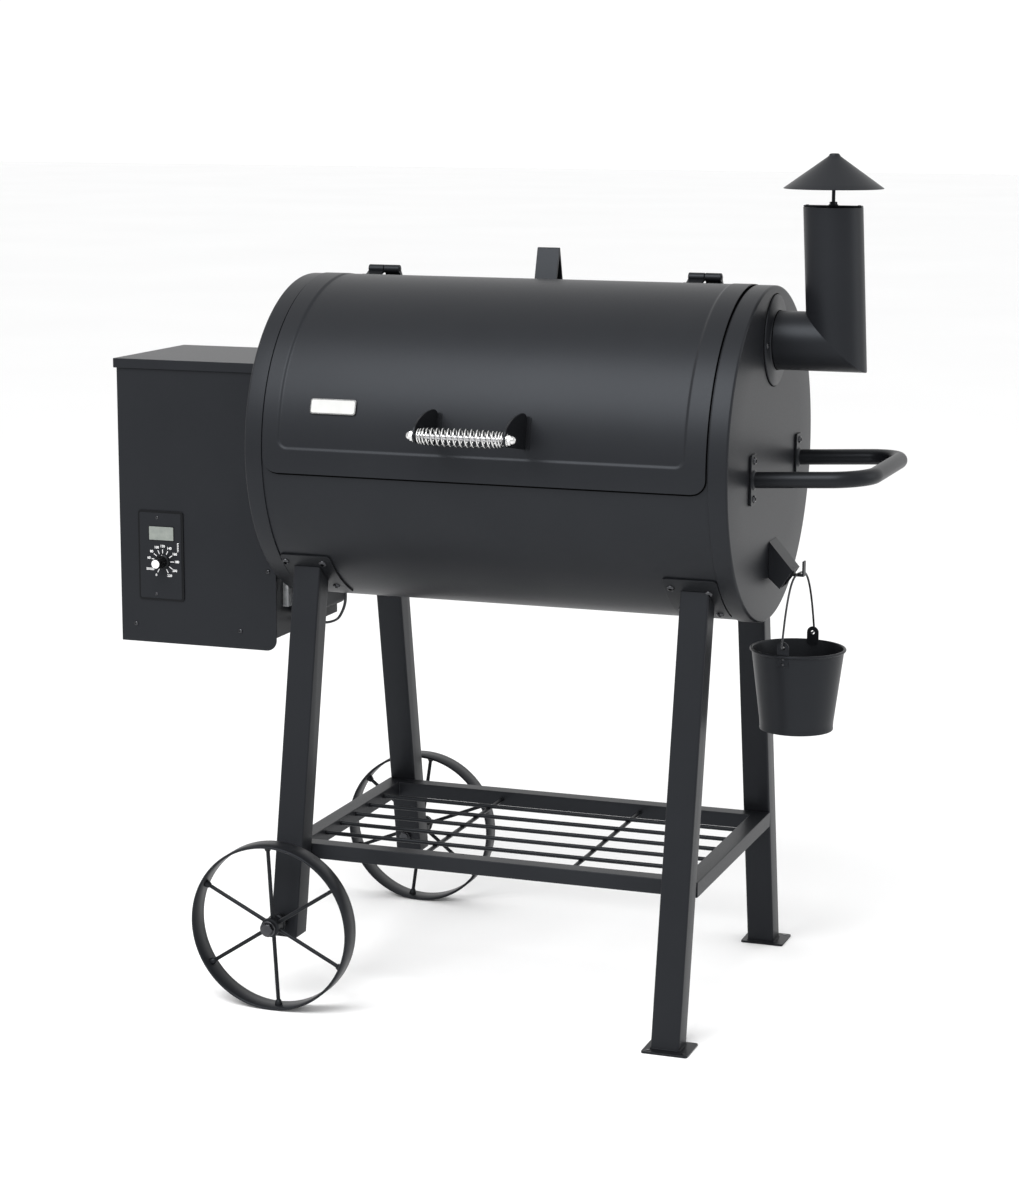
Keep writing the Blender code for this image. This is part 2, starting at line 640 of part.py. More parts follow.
def make_chute():
    """A short square spout that slopes down from the end cap, with a hook for the bucket at its lip."""
    wall_x = BARREL_HALF + GAP
    lip_top, lip_low = (0.3765, 0.6125), (0.3585, 0.5865)
    root_top, root_low = (wall_x, 0.6520), (wall_x, 0.6010)
    outline = [root_low, lip_low, lip_top, root_top]
    spout = plate("grease_chute", outline, CHUTE_WIDTH, (0, CHUTE_Y, 0), BLACK_PAINT, (math.pi / 2, 0, 0))
    sheet = 0.0016
    down = Vector((lip_top[0] - root_top[0], lip_top[1] - root_top[1])).normalized()
    beyond = 0.02
    inner = [
        (root_low[0] - beyond, root_low[1] + sheet * 1.4 + beyond * 0.9),
        (lip_low[0] - down.y * sheet + down.x * beyond - 0.0004, lip_low[1] + down.x * sheet + down.y * beyond + 0.0012),
        (lip_top[0] + down.y * sheet + down.x * beyond, lip_top[1] - down.x * sheet + down.y * beyond),
        (root_top[0] - beyond * down.x + down.y * sheet, root_top[1] - beyond * down.y - down.x * sheet),
    ]
    cut(spout, plate("chute_channel", inner, CHUTE_WIDTH - 2 * sheet, (0, CHUTE_Y, 0), None, (math.pi / 2, 0, 0)))
    tongue = box("hook_tongue", (0.3710, CHUTE_Y - 0.006, HOOK_Z - 0.0025), (0.3885, CHUTE_Y + 0.006, HOOK_Z))
    upright = box("hook_upright", (0.3862, CHUTE_Y - 0.006, HOOK_Z - 0.0015), (0.3885, CHUTE_Y + 0.006, HOOK_Z + 0.0185))
    bridge = box("hook_bridge", (0.3672, CHUTE_Y - 0.006, HOOK_Z - 0.0025), (0.3745, CHUTE_Y + 0.006, HOOK_Z + 0.0100))
    join(spout, bridge, tongue, upright)


def bucket_place(along, height=0.0):
    """A point on the line through the bucket's ears, seen from above."""
    return (BUCKET_X - along * math.sin(BUCKET_TURN), CHUTE_Y + along * math.cos(BUCKET_TURN), height)


def make_bucket():
    sheet = 0.0012
    rim = 0.0015
    top, low = BUCKET_RIM_Z - EAR_Z, BUCKET_BOTTOM_Z - EAR_Z
    profile = [
        (0.0, low + sheet), (BUCKET_BOTTOM_RADIUS - sheet, low + sheet), (BUCKET_TOP_RADIUS - sheet, top),
        (BUCKET_TOP_RADIUS + rim, top), (BUCKET_TOP_RADIUS + rim + 0.0007, top - 0.0020),
        (BUCKET_TOP_RADIUS + rim, top - 0.0042), (BUCKET_TOP_RADIUS - 0.0007, top - 0.0046),
        (BUCKET_BOTTOM_RADIUS, low), (0.0, low),
    ]
    bucket = turned("grease_bucket", profile, bucket_place(0.0, EAR_Z), BLACK_PAINT, 32, "Z")
    bucket.rotation_euler = (0, 0, BUCKET_TURN)
    for side in (-1, 1):
        round_top = arc((0, 0), 0.0085, 0, 180, 6)
        ear = plate(
            f"bucket_ear_{side}", [(0.0085, -0.026), *round_top, (-0.0085, -0.026)], 0.002,
            bucket_place(side * EAR_Y, EAR_Z), None, (math.pi / 2, 0, BUCKET_TURN),
        )
        hole = cylinder(f"ear_hole_{side}", 0.0029, (0, -0.01, 0), 0.02, "Y", segments=12)
        hole.location = bucket_place(side * EAR_Y, EAR_Z)
        hole.rotation_euler = (0, 0, BUCKET_TURN)
        hole.data.transform(Matrix.Translation((0, -0.01, 0)))
        join(bucket, ear)
        cut(bucket, hole)

    rise = BAIL_TOP - EAR_Z
    span = 0.0680
    points = [(0, -EAR_Y + 0.006, 0), (0, -span + 0.0012, 0)]
    arch = 18
    for i in range(arch + 1):
        share = -1 + 2 * i / arch
        points.append((0, span * share, 0.0012 + (rise - 0.0012) * (1 - abs(share) ** 3)))
    points += [(0, span - 0.0012, 0), (0, EAR_Y - 0.006, 0)]
    wire = meshed(tube("bucket_bail", [(x, y, z - rise) for x, y, z in points], BAIL_WIRE, BLACK_PAINT))
    wire.location = bucket_place(0.0, BAIL_TOP)
    wire.rotation_euler = (0, 0, BUCKET_TURN)


# ---------------------------------------------------------------- stand
def make_legs():
    cope = cylinder("leg_cope", SHELL_RADIUS + SADDLE_SHEET + 3 * GAP, (-0.4, 0, AXIS_Z), 0.8, "X", segments=FACETS)
    for end, x in (("left", -LEG_X), ("right", LEG_X)):
        for face, side in (("front", -1), ("rear", 1)):
            middle_z = 0.330
            middle_y = side * (LEG_FOOT_Y - math.tan(LEG_LEAN) * middle_z)
            place = (x, middle_y, middle_z)
            lean = (side * LEG_LEAN, 0, 0)
            leg = box(
                f"leg_{face}_{end}", (-LEG_WIDTH / 2, -LEG_DEPTH / 2, -0.45), (LEG_WIDTH / 2, LEG_DEPTH / 2, 0.45),
                BLACK_PAINT,
            )
            bore = box(
                f"bore_{face}_{end}", (LEG_WALL - LEG_WIDTH / 2, LEG_WALL - LEG_DEPTH / 2, -0.5),
                (LEG_WIDTH / 2 - LEG_WALL, LEG_DEPTH / 2 - LEG_WALL, 0.5),
            )
            for piece in (leg, bore):
                piece.location = place
                piece.rotation_euler = lean
            floor = 0.0015 if end == "right" else CUT_LEG_Z
            below = box(f"below_{face}_{end}", (x - 0.05, -0.5, floor - 0.3), (x + 0.05, 0.5, floor))
            cut(leg, cope, below, bore)
            if end == "right":
                foot_x, foot_y = x + 0.003, side * (LEG_FOOT_Y + 0.004)
                half = [size / 2 for size in FOOT_PLATE]
                foot = box(
                    f"foot_{face}", (foot_x - half[0], foot_y - half[1], 0), (foot_x + half[0], foot_y + half[1], FOOT_PLATE[2])
                )
                join(leg, foot)
            else:
                axle_hole = cylinder(f"axle_hole_{face}", AXLE_RADIUS + GAP, (WHEEL_X, side * 0.35 - 0.17, WHEEL_RADIUS), 0.34, "Y", segments=16)
                cut(leg, axle_hole)


def make_saddles():
    """The curved brackets that bolt the legs to the barrel."""
    for end, x in (("left", -0.2775), ("right", 0.2775)):
        for face, (low, high) in (("front", (-69.0, -40.3)), ("rear", (220.3, 249.0))):
            curved_sheet(
                f"leg_bracket_{face}_{end}", [x - 0.0375, x - 0.020, x + 0.020, x + 0.0375], row_angles(low, high),
                SHELL_RADIUS + SADDLE_SHEET + GAP, SADDLE_SHEET, BLACK_PAINT, None, 0.012,
                ((True, False), (False, False)) if face == "front" else ((True, True), (False, True)),
            )


def make_shelf():
    outer = box(
        "shelf_frame", (-SHELF_HALF[0], -SHELF_HALF[1], SHELF_TOP - RAIL[1]), (SHELF_HALF[0], SHELF_HALF[1], SHELF_TOP),
        BLACK_PAINT,
    )
    inner = box(
        "shelf_hole", (RAIL[0] - SHELF_HALF[0], RAIL[0] - SHELF_HALF[1], 0.1),
        (SHELF_HALF[0] - RAIL[0], SHELF_HALF[1] - RAIL[0], 0.3),
    )
    cut(outer, inner)
    reach_x = SHELF_HALF[0] - RAIL[0] - GAP
    reach_y = SHELF_HALF[1] - RAIL[0] - GAP
    grid = cylinder("shelf_grid", SHELF_ROD_RADIUS, (-reach_x, -2 * SHELF_ROD_PITCH, ROD_Z), 2 * reach_x, "X", BLACK_PAINT, 8)
    for i in range(-1, 3):
        join(grid, cylinder(f"rod_{i}", SHELF_ROD_RADIUS, (-reach_x, i * SHELF_ROD_PITCH, ROD_Z), 2 * reach_x, "X", None, 8))
    for x in (-CROSS_ROD_X, CROSS_ROD_X):
        join(grid, cylinder(f"cross_{x}", SHELF_ROD_RADIUS, (x, -reach_y, ROD_Z - 0.0048), 2 * reach_y, "Y", None, 8))


def make_wheels():
    band = 0.0035
    for face, side in (("front", -1), ("rear", 1)):
        centre = Vector((WHEEL_X, side * (WHEEL_Y - WHEEL_WIDTH / 2), WHEEL_RADIUS))
        half = WHEEL_WIDTH / 2
        wheel = turned(
            f"wheel_{face}",
            [(WHEEL_RADIUS, half), (WHEEL_RADIUS, -half), (WHEEL_RADIUS - band, -half), (WHEEL_RADIUS - band, half)],
            centre, BLACK_PAINT, FACETS, "Y", closed=True,
        )
        hub = cylinder(f"hub_{face}", 0.0105, centre - Vector((0, half + 0.001, 0)), WHEEL_WIDTH + 0.002, "Y", None, 16)
        for i in range(6):
            angle = math.radians(SPOKE_PHASE[face] + 60 * i)
            spoke = cylinder(f"spoke_{face}_{i}", 0.0027, (0, 0, 0.004), WHEEL_RADIUS - band / 2 - 0.004, "Z", None, 8, pivot=(0, 0, 0))
            spoke.location = centre
            spoke.rotation_euler = (0, math.pi / 2 - angle, 0)
            join(hub, spoke)
        join(wheel, hub)
        bore = cylinder(f"bore_{face}", AXLE_RADIUS + 0.00035, centre - Vector((0, 0.05, 0)), 0.1, "Y", segments=16)
        cut(wheel, bore)

        outer = side * (WHEEL_Y + 0.0016)
        tip = side * 0.2060
        axle = cylinder(f"axle_{face}", AXLE_RADIUS, (WHEEL_X, min(outer, tip), WHEEL_RADIUS), abs(outer - tip), "Y", BLACK_PAINT, 16)
        head_start = min(side * (WHEEL_Y + 0.0014), side * (WHEEL_Y + BOLT_HEAD))
        head = cylinder(f"head_{face}", 0.0095, (WHEEL_X, head_start, WHEEL_RADIUS), 0.0056, "Y", None, 6)
        collar_start = min(side * 0.2535, side * (WHEEL_Y - WHEEL_WIDTH - 0.0014))
        collar = cylinder(f"collar_{face}", 0.0095, (WHEEL_X, collar_start, WHEEL_RADIUS), 0.0095, "Y", None, 16)
        join(axle, head, collar)


# ---------------------------------------------------------------- hopper
def make_hopper():
    body = box("hopper_body", (HOPPER_LEFT, -HOPPER_HALF_Y + HOPPER_SHEET + GAP, HOPPER_BOTTOM), (HOPPER_RIGHT, HOPPER_HALF_Y, HOPPER_TOP), BLACK_PAINT)
    room = box(
        "hopper_room", (HOPPER_LEFT + HOPPER_SHEET, -HOPPER_HALF_Y + 2 * HOPPER_SHEET + GAP, HOPPER_BOTTOM + HOPPER_SHEET),
        (HOPPER_RIGHT - HOPPER_SHEET, HOPPER_HALF_Y - HOPPER_SHEET, HOPPER_TOP + 0.1),
    )
    vent = box("hopper_vent", (-0.56, -0.05, HOPPER_BOTTOM - 0.1), (-0.46, 0.05, HOPPER_BOTTOM + 0.1))
    auger_way = cylinder("auger_way", AUGER_TUBE_RADIUS + 0.0006, (-0.36, 0, AUGER_Z), 0.02, "X")
    air_way = box("air_way", (-0.36, -0.018, 0.5165), (-0.34, 0.018, 0.534))
    lead_way = cylinder("lead_way", 0.0036, (-0.36, -0.040, 0.5045), 0.02, "X", segments=12)
    cut(body, room, vent, auger_way, air_way, lead_way)

    corner = 0.016
    front = [
        (HOPPER_LEFT, FASCIA_BOTTOM),
        *arc((HOPPER_RIGHT - corner, FASCIA_BOTTOM + corner), corner, -90, 0, 5),
        (HOPPER_RIGHT, HOPPER_LID_BOTTOM - GAP), (HOPPER_LEFT, HOPPER_LID_BOTTOM - GAP),
    ]
    plate(
        "hopper_front_panel", front, HOPPER_SHEET, (0, -HOPPER_HALF_Y + HOPPER_SHEET / 2, 0), BLACK_PAINT, (math.pi / 2, 0, 0)
    )

    pivot = (0, HOPPER_HINGE_Y, HOPPER_HINGE_Z)
    skirt_y = HOPPER_HALF_Y + HOPPER_LID_OVERHANG
    left, right = HOPPER_LEFT - HOPPER_LID_OVERHANG, -0.3462
    lid = box("hopper_lid", (left, -skirt_y, HOPPER_LID_BOTTOM), (right, skirt_y, HOPPER_LID_TOP), BLACK_PAINT, pivot=pivot)
    sheet = 0.0015
    cut(lid, box("lid_room", (left + sheet, -skirt_y + sheet, 0.8), (right - sheet, skirt_y - sheet, HOPPER_LID_TOP - sheet)))
    cylinder("hopper_lid_hinge", 0.0024, (-0.575, HOPPER_HINGE_Y, HOPPER_HINGE_Z), 0.205, "X", BLACK_PAINT, 12)

    floor_z = AUGER_Z + AUGER_TUBE_RADIUS + 0.0012
    inner = HOPPER_SHEET + GAP
    rings = [
        (HOPPER_LEFT + inner, HOPPER_RIGHT - inner, -HOPPER_HALF_Y + HOPPER_SHEET + GAP + inner, HOPPER_HALF_Y - inner, HOPPER_TOP - 0.004),
        (HOPPER_LEFT + inner, HOPPER_RIGHT - inner, -HOPPER_HALF_Y + HOPPER_SHEET + GAP + inner, HOPPER_HALF_Y - inner, 0.745),
        (-0.492, -0.446, -0.016, 0.016, floor_z),
    ]
    bm = bmesh.new()
    loops = []
    for x0, x1, y0, y1, z in rings:
        loops.append([bm.verts.new(place) for place in ((x0, y0, z), (x1, y0, z), (x1, y1, z), (x0, y1, z))])
    for upper, lower in zip(loops, loops[1:]):
        for i in range(4):
            bm.faces.new((upper[i], lower[i], lower[(i + 1) % 4], upper[(i + 1) % 4]))
    bin_mesh = mesh_from("hopper_funnel", bm)
    funnel = add("hopper_funnel", bin_mesh, finish=GALVANISED)
    outward = bin_mesh.polygons[0].normal.dot(bin_mesh.polygons[0].center - Vector((-0.47, 0, 0.8)))
    skin = funnel.modifiers.new("thickness", "SOLIDIFY")
    skin.thickness = 0.001
    skin.offset = -1.0 if outward > 0 else 1.0
    skin.use_even_offset = True

    guard = box("hopper_guard", (-0.594, -0.1045, 0.800), (-0.3555, 0.1065, 0.803), GALVANISED)
    bars = 9
    pitch = 0.2385 / bars
    for i in range(bars):
        left_edge = -0.594 + pitch * i + 0.003
        cut(guard, box(f"guard_slot_{i}", (left_edge, -0.0985, 0.79), (left_edge + pitch - 0.006, 0.1005, 0.81)))


def make_controller():
    face_y = -HOPPER_HALF_Y - GAP
    thickness = 0.0015
    half_width, half_height = 0.036, 0.0655
    box(
        "controller_plate", (CONTROL_X - half_width, face_y - thickness, CONTROL_Z - half_height),
        (CONTROL_X + half_width, face_y, CONTROL_Z + half_height), BLACK_PLASTIC, bevel=0.0006,
    )
    front_y = face_y - thickness - GAP
    box("controller_display", (-0.5496, front_y - 0.0012, 0.6195), (-0.5110, front_y, 0.6390), DISPLAY)
    profile = [
        (0.0, KNOB_DEPTH), (0.0062, KNOB_DEPTH), (0.0070, KNOB_DEPTH - 0.0008), (0.0078, 0.0050), (0.0108, 0.0030),
        (0.0110, 0.0), (0.0, 0.0),
    ]
    turned("controller_knob", profile, (KNOB_X, front_y, KNOB_Z), BLACK_PLASTIC, 24, "-Y", flip=True)
    box("power_inlet", (-0.565, HOPPER_HALF_Y + GAP, 0.510), (-0.535, HOPPER_HALF_Y + 0.009, 0.534), BLACK_PLASTIC, bevel=0.001)


# ---------------------------------------------------------------- feed, fire and grease parts
def make_feed():
    wall = 0.0015
    length = AUGER_END - AUGER_START
    auger_tube = cylinder("auger_tube", AUGER_TUBE_RADIUS, (AUGER_START, 0, AUGER_Z), length, "X", GALVANISED)
    cut(
        auger_tube,
        cylinder("auger_bore", AUGER_TUBE_RADIUS - wall, (AUGER_START - 0.01, 0, AUGER_Z), length + 0.02, "X"),
        box("auger_inlet", (-0.490, -0.012, AUGER_Z), (-0.448, 0.012, AUGER_Z + 0.05)),
    )

    flight_radius = AUGER_TUBE_RADIUS - wall - 0.0012
    turns = 9
    flight_length = length - 0.012
    data = bpy.data.meshes.new("flight")
    data.from_pydata([(0.0030, 0, 0), (flight_radius, 0, 0)], [(0, 1)], [])
    flight = add("flight", data, (AUGER_START + 0.006, 0, AUGER_Z), None, (0, math.pi / 2, 0))
    screw = flight.modifiers.new("helix", "SCREW")
    screw.angle = 2 * math.pi * turns
    screw.screw_offset = flight_length
    screw.steps = 12 * turns
    screw.render_steps = 12 * turns
    screw.use_merge_vertices = False
    screw.use_normal_calculate = True
    skin = flight.modifiers.new("thickness", "SOLIDIFY")
    skin.thickness = 0.0018
    skin.offset = 0.0
    auger = cylinder("auger_screw", 0.0050, (AUGER_START - 0.006, 0, AUGER_Z), length + 0.002, "X", GALVANISED, 10)
    join(auger, flight)

    motor = box("auger_motor", (-0.588, -0.034, AUGER_Z - 0.032), (-0.522, 0.034, AUGER_Z + 0.032), BLACK_PLASTIC, bevel=0.003)
    join(motor, cylinder("motor_collar", 0.011, (-0.524, 0, AUGER_Z), 0.0125, "X", None, 16))

    fan = Vector((-0.400, 0.0, 0.5285))
    housing = cylinder("fan_housing", 0.037, fan - Vector((0, 0.0165, 0)), 0.033, "Y", GALVANISED, 28)
    join(housing, box("fan_outlet", (fan.x, -0.0165, 0.5125), (HOPPER_RIGHT - HOPPER_SHEET - GAP, 0.0165, 0.5355)))
    cut(
        housing,
        cylinder("fan_room", 0.0355, fan - Vector((0, 0.0150, 0)), 0.030, "Y", None, 28),
        cylinder("fan_mouth", 0.018, fan - Vector((0, 0.05, 0)), 0.05, "Y", None, 20),
        box("outlet_room", (fan.x, -0.0150, 0.5140), (-0.34, 0.0150, 0.5340)),
    )
    wheel = cylinder("fan_wheel", 0.0080, fan - Vector((0, 0.0125, 0)), 0.0240, "Y", BLACK_PLASTIC, 12)
    wheel_plate = cylinder("impeller_plate", 0.0300, fan + Vector((0, 0.0095, 0)), 0.0015, "Y", None, 20)
    join(wheel, wheel_plate)
    for i in range(8):
        blade = box(f"blade_{i}", (0.006, -0.0110, -0.0007), (0.0300, 0.0100, 0.0007))
        blade.location = fan
        blade.rotation_euler = (0, math.radians(45 * i + 10), 0)
        join(wheel, blade)


def make_fire():
    pot_low, pot_high = AUGER_Z - 0.040, AUGER_Z + 0.034
    wall = 0.0020
    pot = turned(
        "fire_pot",
        [(0.0, pot_low + wall), (POT_RADIUS - wall, pot_low + wall), (POT_RADIUS - wall, pot_high),
         (POT_RADIUS, pot_high), (POT_RADIUS, pot_low), (0.0, pot_low)],
        (POT_X, 0, 0), GALVANISED, 24, "Z",
    )
    cut(
        pot,
        cylinder("pot_feed_hole", AUGER_TUBE_RADIUS + GAP * 2, (POT_X - 0.07, 0, AUGER_Z), 0.06, "X"),
        cylinder("pot_igniter_hole", 0.0050, (POT_X - 0.07, 0, AUGER_Z - 0.0315), 0.06, "X", segments=12),
    )
    cylinder("igniter_rod", 0.0044, (-0.170, 0, AUGER_Z - 0.0315), 0.094, "X", GALVANISED, 12)

    crown, eaves = 0.657, 0.640
    baffle_half = 0.105
    roof = [(-baffle_half, eaves), (0, crown), (baffle_half, eaves), (baffle_half, eaves - 0.0022), (0, crown - 0.0022), (-baffle_half, eaves - 0.0022)]
    plate("heat_baffle", roof, 0.44, (-0.03, 0, 0), GALVANISED, (math.pi / 2, 0, math.pi / 2))

    tray = box("drip_tray", (-0.290, -0.155, -0.001), (0.270, 0.155, 0.001), GALVANISED)
    tilt = math.radians(2.0)
    for side in (-1, 1):
        join(tray, box(f"tray_edge_{side}", (-0.290, min(side * 0.153, side * 0.155), -0.001), (0.270, max(side * 0.153, side * 0.155), 0.011)))
    join(tray, box("tray_end", (-0.290, -0.155, -0.001), (-0.288, 0.155, 0.011)))
    tongue = box("tray_tongue", (-0.002, -0.0125, -0.001), (0.092, 0.0125, 0.001))
    tongue.parent = tray
    tongue.location = (0.266, CHUTE_Y, 0.0)
    tongue.rotation_euler = (0, math.radians(27), 0)
    join(tray, tongue)
    tray.location = (0, 0, 0.6735)
    tray.rotation_euler = (0, tilt, 0)
    for piece in CUTTERS.objects:
        if piece.name.startswith("tray_e"):
            piece.parent = tray

    for side, left in (("left", -0.297), ("right", 0.002)):
        width, depth, thick = 0.295, 0.212, 0.006
        grate = box(f"grate_{side}", (left, -depth, GRATE_Z), (left + width, depth, GRATE_Z + thick), CAST)
        slots = 11
        pitch = (width - 0.006) / slots
        for i in range(slots):
            start = left + 0.006 + pitch * i
            cut(grate, box(f"grate_slot_{side}_{i}", (start, -depth + 0.010, GRATE_Z - 0.02), (start + pitch - 0.006, depth - 0.010, GRATE_Z + 0.02)))

    probe = cylinder("temperature_probe", 0.0025, (-0.350, 0.12, 0.80), 0.080, "X", CHROME, 10)
    join(probe, cylinder("probe_nut", 0.0060, (-0.3467, 0.12, 0.80), 0.0040, "X", None, 6))


def make_underside():
    """The air duct below the barrel's left end, the igniter's lead and the hopper's mounting plate."""
    corner = 0.011
    left, right, low = HOPPER_RIGHT + 0.0008, -0.312, 0.5140
    outline = [(left, low), *arc((right - corner, low + corner), corner, -90, 0, 4), (right, 0.56), (left, 0.56)]
    duct = plate("air_duct", outline, 0.100, (0, 0, 0), GALVANISED, (math.pi / 2, 0, 0))
    above = cylinder("duct_cope", BARREL_RADIUS + 2 * GAP, (-0.4, 0, AXIS_Z), 0.3, "X", segments=FACETS)
    room = box("duct_room", (left - 0.01, -0.0485, low + 0.0015), (right - 0.0030, 0.0485, 0.6))
    cut(duct, above, room)

    mount = box("hopper_mount_plate", (HOPPER_RIGHT + GAP, -0.088, 0.530), (-BARREL_HALF - GAP, 0.088, 0.700), GALVANISED)
    cut(
        mount,
        box("mount_notch", (-0.36, -0.0515, 0.50), (-0.33, 0.0515, 0.5500)),
        cylinder("mount_auger_hole", AUGER_TUBE_RADIUS + 0.0008, (-0.36, 0, AUGER_Z), 0.03, "X"),
    )

    y = -0.040
    route = [
        (-0.274, y, 0.5500), (-0.2737, y, 0.5400), (-0.2750, y, 0.5300), (-0.2790, y, 0.5190), (-0.2862, y, 0.5080),
        (-0.2985, y, 0.5022), (-0.3120, y, 0.5005), (-0.3260, y, 0.5005), (-0.3400, y, 0.5025), (-0.3480, y, 0.5040),
        (-0.3560, y, 0.5045),
    ]
    tube("igniter_lead", route, 0.0027, CABLE)


make_barrel()
make_lid()
make_lid_handle()
make_hinges()
make_lid_stop()
make_chimney()
make_side_handle()
make_chute()
make_bucket()
make_legs()
make_saddles()
make_shelf()
make_wheels()
make_hopper()
make_controller()
make_feed()
make_fire()
make_underside()

middle = bpy.data.objects.new("grill_middle", None)
PARTS.objects.link(middle)
for piece in list(PARTS.objects) + list(CUTTERS.objects):
    if piece is not middle and piece.parent is None:
        piece.parent = middle
middle.location = (-MIDDLE_X, -MIDDLE_Y, 0)
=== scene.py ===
"""Looks of the pellet smoker grill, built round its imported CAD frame.

Metres, +Z up, front -Y. Pieces are modelled about the middle of the barrel and placed at ORIGIN. Angles round
the barrel run from straight ahead, upwards.
"""

import math
from math import cos, pi, radians, sin

import bmesh
import bpy
from mathutils import Matrix, Vector


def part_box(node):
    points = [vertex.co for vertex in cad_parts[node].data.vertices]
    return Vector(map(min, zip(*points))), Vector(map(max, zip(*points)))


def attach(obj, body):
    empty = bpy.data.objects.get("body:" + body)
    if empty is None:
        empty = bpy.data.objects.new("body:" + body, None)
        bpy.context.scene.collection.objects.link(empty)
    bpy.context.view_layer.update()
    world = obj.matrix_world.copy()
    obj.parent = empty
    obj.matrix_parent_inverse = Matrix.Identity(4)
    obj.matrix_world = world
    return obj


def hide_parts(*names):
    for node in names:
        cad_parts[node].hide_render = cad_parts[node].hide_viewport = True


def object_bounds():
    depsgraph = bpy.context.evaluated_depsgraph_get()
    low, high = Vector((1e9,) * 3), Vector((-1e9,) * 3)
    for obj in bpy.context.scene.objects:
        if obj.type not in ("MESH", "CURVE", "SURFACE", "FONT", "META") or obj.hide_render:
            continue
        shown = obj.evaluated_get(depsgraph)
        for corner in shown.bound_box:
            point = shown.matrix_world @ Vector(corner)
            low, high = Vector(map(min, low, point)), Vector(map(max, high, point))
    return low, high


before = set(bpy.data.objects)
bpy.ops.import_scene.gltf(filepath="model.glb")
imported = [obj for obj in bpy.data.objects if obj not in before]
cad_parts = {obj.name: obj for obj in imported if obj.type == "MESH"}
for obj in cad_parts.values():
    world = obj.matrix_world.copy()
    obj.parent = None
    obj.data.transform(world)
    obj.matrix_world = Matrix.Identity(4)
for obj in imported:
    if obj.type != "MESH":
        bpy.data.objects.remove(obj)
cad_low, cad_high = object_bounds()

# ---------------------------------------------------------------- places taken from the CAD frame
left_low, left_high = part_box("end_cap_left")
right_low, right_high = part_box("end_cap_right")
ORIGIN = Vector(((left_low.x + right_high.x) / 2, (left_low.y + left_high.y) / 2, 0))


def at(node):
    """A CAD node's box, measured from the middle of the barrel."""
    low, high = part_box(node)
    return low - ORIGIN, high - ORIGIN


def middle(node):
    low, high = at(node)
    return (low + high) / 2


GAP = 0.0003
SHEET = 0.0016
BARREL_RADIUS = (left_high.z - left_low.z) / 2
BARREL_HALF = (right_high.x - left_low.x) / 2
BAND = right_high.x - right_low.x
AXIS_Z = (left_high.z + left_low.z) / 2
SHELL_RADIUS = BARREL_RADIUS - SHEET - 0.0004
OPENING_HALF = 0.300
OPENING_LOW_DEG = -2.0
OPENING_HIGH_DEG = 97.05
LID_LOW_DEG = -6.5
LID_HIGH_DEG = 103.0
LID_HALF = at("lid")[1].x - 0.0022
LID_CORNER = 0.020
PANEL_HALF = 0.290
PANEL_LOW_DEG = 2.0
PANEL_HIGH_DEG = 97.5
PANEL_CORNER = 0.013
PANEL_RISE = 0.0008
BORDER_RISE = 0.0026
HINGE_AXIS = Vector((0, 0.064, 1.0055))
KNUCKLE = 0.006
GRIP = Vector((0, -0.302, middle("lid_handle_rod").z))
LEG_LEAN = math.atan(0.1852)
LEG_SIZE = (0.040, 0.036)
LEG_FOOT_Y = 0.2537
WHEEL_RADIUS = at("wheel_front")[1].z / 2
DUCT = Vector((0.4265, 0.008, 0.927))
DUCT_RADIUS = 0.040
STACK_TOP = 1.107
STACK_LEAN = radians(2.8)
BUCKET_TURN = radians(-5.4)
EAR_Z = 0.513
EAR_Y = 0.0625
BODY = "grill_body"
ALONG_X = Matrix.Rotation(pi / 2, 4, "Z") @ Matrix.Rotation(pi / 2, 4, "X")  # outlines drawn in YZ
ALONG_Y = Matrix.Rotation(pi / 2, 4, "X")  # outlines drawn in XZ
COOL_SHEEN = (0.86, 0.92, 1.0, 1.0)
PLAIN_SHEEN = (1.0, 1.0, 1.0, 1.0)


# ---------------------------------------------------------------- materials
def finish(name, dark, light, rough, spread=0.05, metallic=0.0, specular=0.5, cloud=9.0, grain=900.0,
           bump=0.12, depth=0.0001, cells=False, coat=0.0):
    """A procedural finish: a slow drift of tone and gloss, and a fine grain in the surface."""
    made = bpy.data.materials.new(name)
    made.use_nodes = True
    tree = made.node_tree
    tree.nodes.clear()

    def node(kind, **values):
        new = tree.nodes.new("ShaderNode" + kind)
        for key, value in values.items():
            new.inputs[key.replace("_", " ")].default_value = value
        return new

    out = node("OutputMaterial")
    shader = node("BsdfPrincipled", Metallic=metallic, Specular_IOR_Level=specular, Coat_Weight=coat,
                  Specular_Tint=PLAIN_SHEEN if metallic else COOL_SHEEN)
    coord = node("TexCoord")
    drift = node("TexVoronoi", Scale=cloud) if cells else node("TexNoise", Scale=cloud, Detail=5.0)
    fine = node("TexNoise", Scale=grain, Detail=3.0)
    ramp = node("ValToRGB")
    for stop, position, tone in zip(ramp.color_ramp.elements, (0.30, 0.70), (dark, light)):
        stop.position = position
        stop.color = (*tone, 1.0)
    gloss = node("MapRange", From_Min=0.3, From_Max=0.7, To_Min=rough - spread, To_Max=rough + spread)
    relief = node("Bump", Strength=bump, Distance=depth)
    link = tree.links.new
    link(coord.outputs["Object"], drift.inputs["Vector"])
    link(coord.outputs["Object"], fine.inputs["Vector"])
    link(drift.outputs["Color" if cells else "Fac"], ramp.inputs["Fac"])
    link(ramp.outputs["Color"], shader.inputs["Base Color"])
    link(fine.outputs["Fac"], gloss.inputs["Value"])
    link(gloss.outputs["Result"], shader.inputs["Roughness"])
    link(fine.outputs["Fac"], relief.inputs["Height"])
    link(relief.outputs["Normal"], shader.inputs["Normal"])
    link(shader.outputs["BSDF"], out.inputs["Surface"])
    return made


